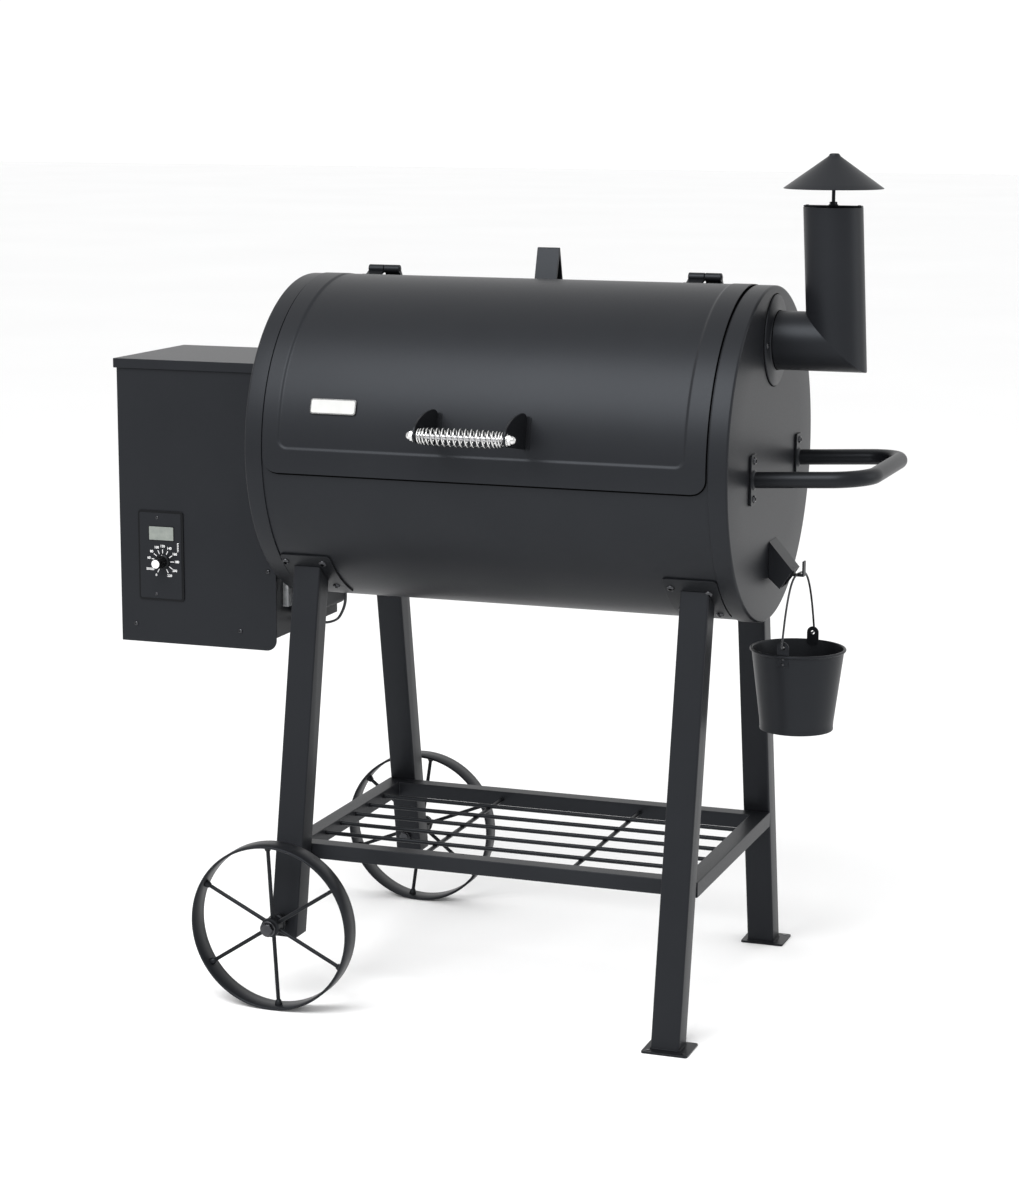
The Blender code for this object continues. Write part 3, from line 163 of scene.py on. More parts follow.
COAT = finish("charcoal_powder_coat", (0.0070, 0.0074, 0.0088), (0.0086, 0.0091, 0.0106), 0.40, 0.04,
              specular=0.19,
              bump=0.22, depth=0.00012)
COAT_DARK = finish("satin_black_coat", (0.0046, 0.0049, 0.0058), (0.0060, 0.0064, 0.0074), 0.38, 0.04,
                   specular=0.19,
                   bump=0.18, depth=0.0001)
FASTENER = finish("blackened_steel", (0.040, 0.041, 0.045), (0.062, 0.063, 0.067), 0.26, 0.06, 1.0, cloud=60)
CHROME = finish("chrome", (0.52, 0.52, 0.51), (0.60, 0.60, 0.60), 0.12, 0.03, 1.0, cloud=40, bump=0.02,
                depth=0.00005)
ROD_STEEL = finish("rod_steel", (0.34, 0.34, 0.35), (0.42, 0.42, 0.43), 0.22, 0.04, 1.0, cloud=40, bump=0.03,
                   depth=0.00005)
GALVANISED = finish("galvanised_steel", (0.34, 0.35, 0.36), (0.50, 0.51, 0.52), 0.40, 0.08, 1.0, cloud=90,
                    cells=True,
                    bump=0.10)
CAST = finish("cast_iron", (0.012, 0.012, 0.012), (0.020, 0.020, 0.020), 0.62, 0.08, cloud=30, grain=450,
              bump=0.5,
              depth=0.0003)
SILVER = finish("badge_silver", (0.11, 0.11, 0.11), (0.15, 0.15, 0.15), 0.26, 0.05, 1.0, cloud=50, bump=0.05)
PEARL = finish("badge_face", (0.40, 0.40, 0.39), (0.46, 0.46, 0.45), 0.40, 0.05, specular=0.25, cloud=40,
               bump=0.04)
PLASTIC = finish("black_plastic", (0.0030, 0.0030, 0.0032), (0.0042, 0.0042, 0.0045), 0.36, 0.05,
                 specular=0.14, cloud=30, bump=0.08)
LCD = finish("display_window", (0.15, 0.165, 0.15), (0.19, 0.205, 0.185), 0.16, 0.03, cloud=120, bump=0.02,
             coat=0.4)
INK = finish("white_print", (0.62, 0.62, 0.62), (0.74, 0.74, 0.74), 0.45, 0.05, cloud=200, bump=0.03)
RUBBER = finish("cable_sheath", (0.008, 0.008, 0.008), (0.012, 0.012, 0.012), 0.50, 0.06, cloud=60, bump=0.10)
# Near-black and almost without gloss: painted shadow, laid in the gaps under the lid's edge and round the
# chimney flange.
SHADOW_BLACK = finish("painted_shadow_black", (0.0010, 0.0010, 0.0010), (0.0018, 0.0018, 0.0018), 0.85, 0.05, specular=0.01,
              cloud=200,
              grain=1500, bump=0.4, depth=0.0002)
SLOTS = {
    **dict.fromkeys((SHADOW_BLACK, COAT, COAT_DARK, FASTENER), "charcoal_powder_coat"),
    CHROME: "chrome", ROD_STEEL: "chrome", GALVANISED: "galvanised_steel", CAST: "cast_iron",
         SILVER: "badge_silver",
    PEARL: "badge_silver", PLASTIC: "black_plastic", LCD: "display_window", INK: "black_plastic",
    RUBBER: "cable_sheath",
}


# ---------------------------------------------------------------- shapes
def aim(point, direction):
    """The place whose own Z runs along direction."""
    turn = Vector(direction).to_track_quat("Z", "Y").to_matrix().to_4x4()
    return Matrix.Translation(Vector(point)) @ turn


def on_barrel(radius, degrees, x=0.0):
    angle = radians(degrees)
    return Vector((x, -radius * cos(angle), AXIS_Z + radius * sin(angle)))


def outward(degrees):
    angle = radians(degrees)
    return Vector((0, -cos(angle), sin(angle)))


def arc(centre, radius, start, end, count):
    return [
        (centre[0] + radius * cos(radians(start + (end - start) * i / count)),
         centre[1] + radius * sin(radians(start + (end - start) * i / count)))
        for i in range(count + 1)
    ]


def rounded(width, height, corner, count=6):
    """A rectangle's outline about its middle, with round corners."""
    points = []
    for sx, sy, start in ((1, 1, 0), (-1, 1, 90), (-1, -1, 180), (1, -1, 270)):
        points += arc((sx * (width / 2 - corner), sy * (height / 2 - corner)), corner, start, start + 90,
                      count)
    return points


def flowing(points, count=6):
    """A smooth line through the points."""
    points = [Vector(p) for p in points]
    ends = [2 * points[0] - points[1], *points, 2 * points[-1] - points[-2]]
    line = []
    for a, b, c, d in zip(ends, ends[1:], ends[2:], ends[3:]):
        for i in range(count):
            t = i / count
            line.append(0.5 * (2 * b + (c - a) * t + (2 * a - 5 * b + 4 * c - d) * t * t
                               + (3 * b - a - 3 * c + d) * t ** 3))
    return line + [points[-1]]


def lathe(bm, profile, place, steps=96, closed=False):
    """Turns (radius, height) points about the place's Z axis."""
    rings = []
    for radius, height in profile:
        count = steps if radius > 1e-7 else 1
        rings.append([
            bm.verts.new(place @ Vector((radius * cos(2 * pi * i / count),
                                         radius * sin(2 * pi * i / count), height)))
            for i in range(count)
        ])
    for a, b in list(zip(rings, rings[1:])) + ([(rings[-1], rings[0])] if closed else []):
        for i in range(steps):
            j = (i + 1) % steps
            if len(a) > 1 and len(b) > 1:
                bm.faces.new((a[i], b[i], b[j], a[j]))
            elif len(b) > 1:
                bm.faces.new((a[0], b[i], b[j]))
            elif len(a) > 1:
                bm.faces.new((a[i], b[0], a[j]))


def rod(bm, point, direction, radius, length, steps=48):
    """A round bar with flat ends."""
    lathe(bm, [(0, 0), (radius, 0), (radius, length), (0, length)], aim(point, direction), steps)


def sweep(bm, points, radius, sides=16):
    """A round bar along the points. Its radius is a number, or a function of the share of its length."""
    points = [Vector(p) for p in points]
    normal = None
    rings = []
    for i, point in enumerate(points):
        along = (points[min(i + 1, len(points) - 1)] - points[max(i - 1, 0)]).normalized()
        if normal is None:
            normal = along.orthogonal()
        normal = (normal - along * normal.dot(along)).normalized()
        side = along.cross(normal)
        size = radius(i / (len(points) - 1)) if callable(radius) else radius
        rings.append([
            bm.verts.new(point + size * (cos(2 * pi * k / sides) * normal
                                         + sin(2 * pi * k / sides) * side))
            for k in range(sides)
        ])
    for a, b in zip(rings, rings[1:]):
        for k in range(sides):
            bm.faces.new((a[k], b[k], b[(k + 1) % sides], a[(k + 1) % sides]))
    bm.faces.new(rings[0][::-1])
    bm.faces.new(rings[-1])


def prism(bm, outline, thickness, place):
    """A flat outline in the place's XY plane, thickened both ways."""
    low = [bm.verts.new(place @ Vector((x, y, -thickness / 2))) for x, y in outline]
    high = [bm.verts.new(place @ Vector((x, y, thickness / 2))) for x, y in outline]
    bm.faces.new(low[::-1])
    bm.faces.new(high)
    for i in range(len(outline)):
        j = (i + 1) % len(outline)
        bm.faces.new((low[i], low[j], high[j], high[i]))


def cuboid(bm, low, high, edge=0.0008, place=None):
    """A box with round edges."""
    made = bmesh.ops.create_cube(bm, size=1.0)["verts"]
    size = [b - a for a, b in zip(low, high)]
    bmesh.ops.scale(bm, vec=size, verts=made)
    bmesh.ops.translate(bm, vec=[(a + b) / 2 for a, b in zip(low, high)], verts=made)
    edges = list({e for v in made for e in v.link_edges})
    if edge:
        made = bmesh.ops.bevel(bm, geom=edges, offset=edge, segments=3, profile=0.5, affect="EDGES")["verts"]
    if place:
        bmesh.ops.transform(bm, matrix=place, verts=made)


def button(bm, point, direction, radius=0.0042, height=0.0022):
    """A button-head screw with its hexagonal socket."""
    place = aim(point, direction)
    lathe(bm, [(radius * 0.46, height * 0.25), (radius * 0.48, height * 0.98), (radius * 0.72, height * 0.86),
               (radius * 0.93, height * 0.48), (radius, 0.0002), (radius, -0.0003), (0, -0.0003)], place, 24)
    lathe(bm, [(0, height * 0.25), (radius * 0.46, height * 0.25)], place, 24)


def hexagon(bm, point, direction, radius, height, washer=0.0):
    """A hexagon head with chamfered corners, on a washer if it has one."""
    place = aim(point, direction)
    base = 0.0
    if washer:
        base = 0.0012
        lathe(bm, [(0, base), (washer - 0.0003, base), (washer, base - 0.0003), (washer, 0), (0, 0)], place,
              40)
    turned = place @ Matrix.Translation((0, 0, base))
    lathe(bm, [(0, height), (radius * 0.86, height), (radius, height * 0.82), (radius, 0), (0, 0)], turned, 6)


def emit(name, bm, look, body, replaces=(), edge=0.0, angle=35, thick=0.0, recalc=True):
    """The mesh as a piece that rides on a body."""
    bmesh.ops.remove_doubles(bm, verts=bm.verts, dist=0.000002)
    if recalc:
        bmesh.ops.recalc_face_normals(bm, faces=bm.faces)
    data = bpy.data.meshes.new(name)
    bm.to_mesh(data)
    bm.free()
    data.shade_smooth()
    data.set_sharp_from_angle(angle=radians(angle))
    data.materials.append(look)
    obj = bpy.data.objects.new(name, data)
    obj.location = ORIGIN
    bpy.context.scene.collection.objects.link(obj)
    if thick:
        skin = obj.modifiers.new("thickness", "SOLIDIFY")
        skin.thickness = thick
        skin.offset = -1.0
        skin.use_even_offset = False
    if edge:
        soft = obj.modifiers.new("edges", "BEVEL")
        soft.width = edge
        soft.segments = 3
        soft.limit_method = "ANGLE"
        soft.angle_limit = radians(angle)
        soft.harden_normals = True
    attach(obj, body)
    if replaces:
        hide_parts(*([replaces] if isinstance(replaces, str) else replaces))
    return obj


def keep(node, look, edge=0.0006):
    """A CAD node shown as it is, with its edges rounded."""
    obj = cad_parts[node]
    obj.data.materials.clear()
    obj.data.materials.append(look)
    weld = obj.modifiers.new("weld", "WELD")
    weld.merge_threshold = 0.00002
    soft = obj.modifiers.new("edges", "BEVEL")
    soft.width = edge
    soft.segments = 2
    soft.limit_method = "ANGLE"
    soft.angle_limit = radians(38)
    for face in obj.data.polygons:
        face.use_smooth = True
    even = obj.modifiers.new("even", "WEIGHTED_NORMAL")
    even.weight = 100
    even.keep_sharp = True


def carve(obj, *cutters):
    """Cuts closed bmeshes out of a piece and keeps the result."""
    helpers = []
    for i, bm in enumerate(cutters):
        bmesh.ops.recalc_face_normals(bm, faces=bm.faces)
        data = bpy.data.meshes.new("cutter")
        bm.to_mesh(data)
        bm.free()
        helper = bpy.data.objects.new("cutter", data)
        helper.location = ORIGIN
        bpy.context.scene.collection.objects.link(helper)
        helpers.append(helper)
        step = obj.modifiers.new(f"cut_{i}", "BOOLEAN")
        step.operation = "DIFFERENCE"
        step.solver = "EXACT"
        step.object = helper
        obj.modifiers.move(len(obj.modifiers) - 1, i)
    shown = [m for m in obj.modifiers if m.type != "BOOLEAN"]
    for m in shown:
        m.show_viewport = False
    bpy.context.view_layer.update()
    data = bpy.data.meshes.new_from_object(obj.evaluated_get(bpy.context.evaluated_depsgraph_get()))
    for m in [m for m in obj.modifiers if m.type == "BOOLEAN"]:
        obj.modifiers.remove(m)
    for m in shown:
        m.show_viewport = True
    for helper in helpers:
        bpy.data.objects.remove(helper, do_unlink=True)
    data.shade_smooth()
    data.set_sharp_from_angle(angle=radians(35))
    obj.data = data
    return obj


def rod_cutter(point, direction, radius, length, steps=48):
    bm = bmesh.new()
    rod(bm, point, direction, radius, length, steps)
    return bm


def box_cutter(low, high):
    bm = bmesh.new()
    cuboid(bm, low, high, 0)
    return bm


def spread(*stops):
    """Numbers between stops, each a (start, end, step)."""
    found = []
    for start, end, step in stops:
        count = max(1, round(abs(end - start) / step))
        found += [start + (end - start) * i / count for i in range(count)]
    return found + [stops[-1][1]]


def grid(bm, xs, degrees, place, skip=None):
    """A sheet of quads over the xs and degrees, with its faces outwards from the barrel's axis."""
    rows = [[bm.verts.new(place(x, d)) for x in xs] for d in degrees]
    for i in range(len(degrees) - 1):
        for j in range(len(xs) - 1):
            if skip and skip((xs[j] + xs[j + 1]) / 2, (degrees[i] + degrees[i + 1]) / 2):
                continue
            bm.faces.new((rows[i][j], rows[i][j + 1], rows[i + 1][j + 1], rows[i + 1][j]))
    loose = [v for v in bm.verts if not v.link_faces]
    bmesh.ops.delete(bm, geom=loose, context="VERTS")


# ---------------------------------------------------------------- barrel
def barrel():
    bm = bmesh.new()
    half = BARREL_HALF - SHEET - 0.0004
    xs = spread((-half, -OPENING_HALF, 0.01), (-OPENING_HALF, OPENING_HALF, 0.02), (OPENING_HALF, half, 0.01))
    rear_edge = OPENING_HIGH_DEG - 360
    turns = spread((OPENING_LOW_DEG - 360, rear_edge, 1.5), (rear_edge, OPENING_LOW_DEG, 1.5))

    def place(x, degrees):
        return on_barrel(SHELL_RADIUS, degrees, x)

    def opening(x, degrees):
        return abs(x) < OPENING_HALF and degrees < rear_edge

    grid(bm, xs, turns, place, opening)
    emit("barrel_skin", bm, COAT, BODY, "barrel_shell", thick=SHEET, edge=0.0004, recalc=False)

    bm = bmesh.new()
    reach, ledge_in, ledge_out, ledge_top = 0.296, 0.204, 0.2266, 0.7590
    for low_y, high_y in ((-ledge_out, -ledge_in), (ledge_in, ledge_out)):
        cuboid(bm, (-reach, low_y, ledge_top - 0.002), (reach, high_y, ledge_top), 0.0005)
    for x in (-0.24, 0.24):
        for y in (-0.214, 0.214):
            button(bm, (x, y, ledge_top), (0, 0, 1), 0.0036, 0.0014)
    emit("grate_ledges", bm, COAT, BODY)

    for side, name in ((-1, "left"), (1, "right")):
        bm = bmesh.new()
        edge = 0.0035
        corner = arc((BARREL_RADIUS - edge, BARREL_HALF - edge), edge, 90, 0, 8)
        profile = [(0, BARREL_HALF), (0.08, BARREL_HALF), (0.16, BARREL_HALF), *corner,
                   (BARREL_RADIUS, BARREL_HALF - BAND + 0.0004), (BARREL_RADIUS - 0.0004, BARREL_HALF - BAND),
                   (BARREL_RADIUS - SHEET, BARREL_HALF - BAND), (BARREL_RADIUS - SHEET, BARREL_HALF - SHEET),
                   (0, BARREL_HALF - SHEET)]
        lathe(bm, profile, aim((0, 0, AXIS_Z), (side, 0, 0)), 192)
        cap = emit(f"cap_{name}", bm, COAT, BODY, f"end_cap_{name}", angle=40)
        if side > 0:
            carve(cap, rod_cutter((0.33, DUCT.y, DUCT.z), (1, 0, 0), DUCT_RADIUS - 0.002, 0.03),
                  box_cutter((0.33, 0.0, 0.610), (0.36, 0.030, 0.640)))
        else:
            carve(cap, rod_cutter((-0.36, 0, 0.598), (1, 0, 0), 0.0226, 0.04),
                  rod_cutter((-0.36, 0.12, 0.80), (1, 0, 0), 0.003, 0.04))


# ---------------------------------------------------------------- lid
def panel_depth(x, degrees):
    """How far a point lies inside the pressed panel's edge. On the left the panel narrows towards the back."""
    half_arc = radians(PANEL_HIGH_DEG - PANEL_LOW_DEG) / 2 * BARREL_RADIUS
    along = abs(radians(degrees - (PANEL_HIGH_DEG + PANEL_LOW_DEG) / 2) * BARREL_RADIUS)
    half = 0.2845 if x > 0 else PANEL_HALF - 0.010 * (max(degrees - 25, 0) / 70) ** 1.2
    dx, dy = abs(x) - (half - PANEL_CORNER), along - (half_arc - PANEL_CORNER)
    return PANEL_CORNER - (math.hypot(max(dx, 0), max(dy, 0)) + min(max(dx, dy), 0))


def lid_place(x, degrees, radius=None, corner=LID_CORNER, half=LID_HALF, low=LID_LOW_DEG):
    """A point of the lid's outside, with the round lower corners taken off its ends."""
    if radius is None:
        share = min(max(panel_depth(x, degrees) / 0.0045 + 0.5, 0), 1)
        back = min(max((96 - degrees) / 10, 0), 1)
        radius = BARREL_RADIUS + BORDER_RISE * back + (PANEL_RISE
                                                       - BORDER_RISE) * back * share * share * (3 - 2 * share)
    up = radians(degrees - low) * BARREL_RADIUS
    start = half - corner - 0.004
    if up < corner and abs(x) > start:
        limit = half - corner + math.sqrt(max(corner ** 2 - (corner - up) ** 2, 0))
        x = math.copysign(start + (abs(x) - start) * (limit - start) / (half - start), x)
    return on_barrel(radius, degrees, x)


def lid():
    bm = bmesh.new()
    a, b = PANEL_HALF - PANEL_CORNER - 0.014, PANEL_HALF + 0.006
    xs = spread((-LID_HALF, -b, 0.002), (-b, -a, 0.0012), (-a, a, 0.022), (a, b, 0.0012),
                (b, LID_HALF, 0.002))
    fine = math.degrees(0.0012 / BARREL_RADIUS)
    reach = math.degrees((PANEL_CORNER + 0.004) / BARREL_RADIUS)
    turns = spread((LID_LOW_DEG, PANEL_LOW_DEG - 1.5, 0.3),
                   (PANEL_LOW_DEG - 1.5, PANEL_LOW_DEG + reach, fine),
                   (PANEL_LOW_DEG + reach, PANEL_HIGH_DEG - reach, 1.5),
                   (PANEL_HIGH_DEG - reach, PANEL_HIGH_DEG + 1.5, fine),
                   (PANEL_HIGH_DEG + 1.5, LID_HIGH_DEG, 0.5))
    grid(bm, xs, turns, lid_place)
    emit("lid_skin", bm, COAT, "lid_body", "lid", thick=SHEET, edge=0.0005, angle=50, recalc=False)

    # a near-black strip just under the lid's edge: painted shadow that shows as the line round the lid
    half, low = LID_HALF + 0.0009, LID_LOW_DEG - math.degrees(0.0030 / BARREL_RADIUS)
    seat = SHELL_RADIUS + 0.0012

    def shadow_strip_place(x, degrees):
        return lid_place(x, degrees, seat, LID_CORNER + 0.002, half, low)

    bm = bmesh.new()
    grid(bm, spread((-half, -half + 0.03, 0.002), (-half + 0.03, half - 0.03, 0.04),
                    (half - 0.03, half, 0.002)),
         spread((low, low + 5, 0.4), (low + 5, 95, 2)), shadow_strip_place, lambda x,
         d: abs(x) < half - 0.012 and d > low + 3)
    emit("lid_shadow_strip", bm, SHADOW_BLACK, "lid_body", thick=0.0008, recalc=False)

    tilt = 16.6
    low, high = at("badge_plate")
    centre = on_barrel(BARREL_RADIUS + PANEL_RISE + 0.0016, tilt, (low.x + high.x) / 2)
    place = Matrix.Translation(centre) @ Matrix.Rotation(pi / 2 - radians(tilt), 4, "X")
    width, height = high.x - low.x, 0.0214
    bm = bmesh.new()
    prism(bm, rounded(width, height, 0.004), 0.002, place)
    emit("badge_rim", bm, SILVER, "lid_body", "badge_plate", edge=0.0006)
    bm = bmesh.new()
    prism(bm, rounded(width - 0.0036, height - 0.0036, 0.0028), 0.0004,
          place @ Matrix.Translation((0, 0, 0.0010)))
    emit("badge_face", bm, PEARL, "lid_body", edge=0.00012)


def fin_outline():
    seat = BARREL_RADIUS + PANEL_RISE + 0.0004
    points = arc((0, 0), 0.0095, 255, 150, 12)
    crown, start = (0.060, 0.0285), points[-1]
    for i in range(1, 15):
        angle = pi / 2 * i / 14
        points.append((start[0] + (crown[0] - start[0]) * (1 - cos(angle)),
                       start[1] + (crown[1] - start[1]) * sin(angle)))
    for i in range(1, 9):
        angle = pi / 2 * i / 8
        points.append((crown[0] + 0.0178 * sin(angle), 0.0185 + 0.0100 * cos(angle)))
    feet = [on_barrel(seat, 15.3 - 9.9 * i / 8) for i in range(9)]
    return points + [(p.y - GRIP.y, p.z - GRIP.z) for p in feet]


def grip():
    fins = {side: middle(f"lid_handle_bracket_{side}").x for side in ("left", "right")}
    for side, x in fins.items():
        bm = bmesh.new()
        prism(bm, fin_outline(), 0.003, Matrix.Translation((x, GRIP.y, GRIP.z)) @ ALONG_X)
        flange = rounded(0.0075, radians(11.2) * BARREL_RADIUS, 0.0035, 4)
        inner, outer = (
            [bm.verts.new(on_barrel(BARREL_RADIUS + PANEL_RISE + rise,
                                    10.9 + math.degrees(up / BARREL_RADIUS), x + 0.0030 + along))
             for along, up in flange] for rise in (0.0003, 0.0023))
        bm.faces.new(inner[::-1])
        bm.faces.new(outer)
        for i in range(len(flange)):
            j = (i + 1) % len(flange)
            bm.faces.new((inner[i], inner[j], outer[j], outer[i]))
        emit(f"grip_fin_{side}", bm, COAT_DARK, "lid_body", f"lid_handle_bracket_{side}", edge=0.0006)

    bm = bmesh.new()
    left, right = fins["left"] - 0.006, fins["right"] + 0.006
    rod(bm, (left, GRIP.y, GRIP.z), (1, 0, 0), 0.004, right - left, 40)
    emit("grip_rod", bm, ROD_STEEL, "lid_body", "lid_handle_rod", edge=0.0002, angle=40)
    bm = bmesh.new()
    for side, way in (("left", -1), ("right", 1)):
        face = Vector((fins[side] + way * 0.0018, GRIP.y, GRIP.z))
        lathe(bm, [(0, 0.0014), (0.0082, 0.0014), (0.0086, 0.0010), (0.0086, 0), (0, 0)],
              aim(face, (way, 0, 0)), 48)
        place = aim(face + Vector((way * 0.0014, 0, 0)), (way, 0, 0))
        lathe(bm, [(0, 0.0042), (0.0062, 0.0042), (0.0072, 0.0036), (0.0072, 0), (0, 0)], place, 6)
        dome = [(0.0056 * cos(radians(t)), 0.0042 + 0.0066 * sin(radians(t))) for t in range(90, -1, -10)]
        lathe(bm, [(0, dome[0][1]), *dome[1:]], place, 40)
    emit("grip_nuts", bm, CHROME, "lid_body", edge=0.0002, angle=40)

    wire, turns, steps = 0.0011, 18.5, 28
    start, end = fins["left"] + 0.0036, fins["right"] - 0.0036
    points = []
    total = int(turns * steps)
    for i in range(total + 1):
        t = i / total
        eased = t - 0.058 * sin(2 * pi * t) - 0.010 * sin(4 * pi * t)
        radius = 0.0092 + 0.0026 * sin(pi * t) ** 0.8
        angle = 2 * pi * i / steps
        points.append((start + (end - start) * eased, GRIP.y + radius * cos(angle),
                       GRIP.z + radius * sin(angle)))
    bm = bmesh.new()
    sweep(bm, points, wire, 10)
    emit("grip_spring", bm, CHROME, "lid_body", "lid_handle_spring", angle=60)


# ---------------------------------------------------------------- hinges and lid stop
def hinges():
    over_lid, over_shell = BARREL_RADIUS + 0.0006, SHELL_RADIUS + 0.0004
    axis = HINGE_AXIS
    lid_wing = [on_barrel(over_lid, 98.9 + i * 0.975) for i in range(5)] + [
        axis + Vector((0, -0.001, -0.0052)), axis + Vector((0, -0.001, -0.0005)),
        on_barrel(over_lid + 0.0016, 102.0), on_barrel(over_lid + 0.0008, 98.9)]
    body_wing = [on_barrel(over_shell, 107.5 + i) for i in range(9)] + [
        on_barrel(over_shell + 0.0025, 115.5), on_barrel(over_shell + 0.0030, 110.5),
        axis + Vector((0, 0.0030, 0.0010)), axis + Vector((0, 0.0005, -0.0055))]
    edge, pin = 0.0006, 0.0032
    for side in ("left", "right"):
        lid_low, lid_high = at(f"hinge_lid_leaf_{side}")
        for name, outline, body, start in (("lid", lid_wing, "lid_body", lid_low.x),
                                           ("body", body_wing, BODY, lid_high.x + 0.0006)):
            length = at(f"hinge_{name}_leaf_{side}")[1].x - start
            bm = bmesh.new()
            lathe(bm, [(0, 0), (KNUCKLE - edge, 0), (KNUCKLE, edge), (KNUCKLE, length - edge),
                       (KNUCKLE - edge, length), (0, length)],
                  aim((start, axis.y, axis.z), (1, 0, 0)), 40)
            prism(bm, [(p.y, p.z) for p in outline], length,
                  Matrix.Translation((start + length / 2, 0, 0)) @ ALONG_X)
            if name == "body":
                lathe(bm, [(0, 0), (pin - edge, 0), (pin, edge), (pin, 2 * edge), (0, 2 * edge)],
                      aim((start + length - 0.0002, axis.y, axis.z), (1, 0, 0)), 24)
            emit(f"hinge_{name}_{side}", bm, COAT_DARK, body, f"hinge_{name}_leaf_{side}", edge=0.0004)


def lid_stop():
    sheet = 0.0025
    low, high = at("lid_stop")
    seat = SHELL_RADIUS + GAP + 0.001
    front = on_barrel(seat, math.degrees(math.acos(-0.070 / seat)))
    back = on_barrel(seat, math.degrees(math.acos(-0.106 / seat)))
    apex = Vector((0, 0.0865, 1.0402))
    fold = 0.0022
    outline = [(front.y, front.z), *arc((apex.y, apex.z - fold), fold, 165, 15, 6),
               (back.y, back.z), (back.y - sheet * 1.05, back.z + 0.0006), (apex.y + 0.0006, apex.z - 0.0075),
               (front.y + sheet * 1.05, front.z)]
    bm = bmesh.new()
    prism(bm, outline, high.x - low.x, Matrix.Translation(((low.x + high.x) / 2, 0, 0)) @ ALONG_X)
    emit("stop_strip", bm, COAT, BODY, "lid_stop", edge=0.0005)


# ---------------------------------------------------------------- chimney
def chimney():
    wall = 0.0015
    foot_x = BARREL_HALF + GAP
    foot_place = aim((foot_x, DUCT.y, DUCT.z), (1, 0, 0))
    inward = Vector((1, 0, 0))
    upward = Vector((-sin(STACK_LEAN), 0, cos(STACK_LEAN)))
    mitre = (inward + upward).normalized()
    bm = bmesh.new()
    steps = 128

    def rings(radius):
        foot, bend, top = [], [], []
        for i in range(steps):
            turn = 2 * pi * i / steps
            out = Vector((0, radius * cos(turn), radius * sin(turn)))
            foot.append(bm.verts.new(Vector((foot_x, DUCT.y, DUCT.z)) + out))
            bend.append(bm.verts.new(DUCT + out - inward * (out.dot(mitre) / inward.dot(mitre))))
            turned = out - 2 * out.dot(mitre) * mitre
            top.append(bm.verts.new(DUCT + turned + upward * ((STACK_TOP - DUCT.z - turned.z) / upward.z)))
        return foot, bend, top

    outer, inner = rings(DUCT_RADIUS), rings(DUCT_RADIUS - wall)
    loop = [*outer, *inner[::-1]]
    for a, b in zip(loop, loop[1:] + loop[:1]):
        for i in range(steps):
            j = (i + 1) % steps
            bm.faces.new((a[i], b[i], b[j], a[j]))
    emit("pipe", bm, COAT, BODY, "chimney_pipe", edge=0.0003, angle=4)

    bm = bmesh.new()
    flange = 0.062
    lathe(bm, [(DUCT_RADIUS - 0.0002, 0.0052), (DUCT_RADIUS + 0.0012, 0.0036), (DUCT_RADIUS + 0.0026, 0.0021),
               (flange - 0.0006, 0.0020), (flange, 0.0014), (flange, 0.0002), (DUCT_RADIUS - 0.0002, 0.0002)],
          foot_place, 128, closed=True)
    emit("pipe_flange", bm, COAT, BODY, angle=50)
    # Near-black rings behind the flange's rim and round the duct's collar: painted shadow in the gaps there.
    bm = bmesh.new()
    for inner_r, outer_r, high_x, low_x in ((0.050, flange + 0.0012, 0.0002, -GAP),
                                            (DUCT_RADIUS - 0.0003, DUCT_RADIUS + 0.0006, 0.0056, 0.0044)):
        lathe(bm, [(inner_r, high_x), (outer_r, high_x), (outer_r, low_x), (inner_r, low_x)], foot_place, 96,
              closed=True)
    emit("flange_shadow_rings", bm, SHADOW_BLACK, BODY)
    bm = bmesh.new()
    for y, z in arc((DUCT.y, DUCT.z), 0.0515, 4, 184, 1):
        button(bm, (foot_x + 0.002, y, z), (1, 0, 0))
    emit("flange_screws", bm, FASTENER, BODY)

    top = DUCT + upward * ((STACK_TOP - DUCT.z) / upward.z)
    stack_place = Matrix.Translation((top.x, DUCT.y, 0))
    strap_z = STACK_TOP + GAP
    low, high = at("chimney_cap")
    bm = bmesh.new()
    strap_half = DUCT_RADIUS - 0.0005
    cuboid(bm, (top.x - strap_half, DUCT.y - 0.006, strap_z),
           (top.x + strap_half, DUCT.y + 0.006, strap_z + 0.002), 0.0006)
    stem_top = high.z - 0.0034
    lathe(bm, [(0, strap_z), (0.0024, strap_z), (0.0024, stem_top), (0, stem_top)], stack_place, 24)
    hexagon(bm, (top.x, DUCT.y, strap_z + 0.002), (0, 0, 1), 0.0054, 0.0036, 0.0066)
    for x in (top.x - 0.0355, top.x + 0.0355):
        lathe(bm, [(0, 0.0008), (0.002, 0.0007), (0.0024, 0), (0, 0)],
              aim((x, DUCT.y, strap_z + 0.002), (0, 0, 1)), 20)
    emit("cap_stem", bm, COAT_DARK, BODY, "chimney_cap_stem", angle=40)

    rim, rim_z, peak, sheet, neck = (high.x - low.x) / 2, low.z + 0.0008, high.z, 0.0012, 0.0084
    bm = bmesh.new()
    profile = [(0.0030, peak), (0.0050, peak - 0.0002), (0.0064, peak - 0.0008), (0.0072, peak - 0.0022),
               (neck, peak - 0.0040)]
    profile += [(neck + (rim - 0.0006 - neck) * i / 8,
                 peak - 0.0040 + (rim_z + 0.0006 - peak + 0.0040) * i / 8) for i in range(1, 9)]
    profile += [(rim, rim_z), (rim - 0.0002, rim_z - 0.0005), (rim - 0.0012, rim_z - 0.0007)]
    profile += [(neck, peak - 0.0040 - 2 * sheet), (0.0030, peak - 0.0075)]
    lathe(bm, profile, stack_place, 128, closed=True)
    emit("cap_cone", bm, COAT, "chimney_cap_body", "chimney_cap", angle=28)
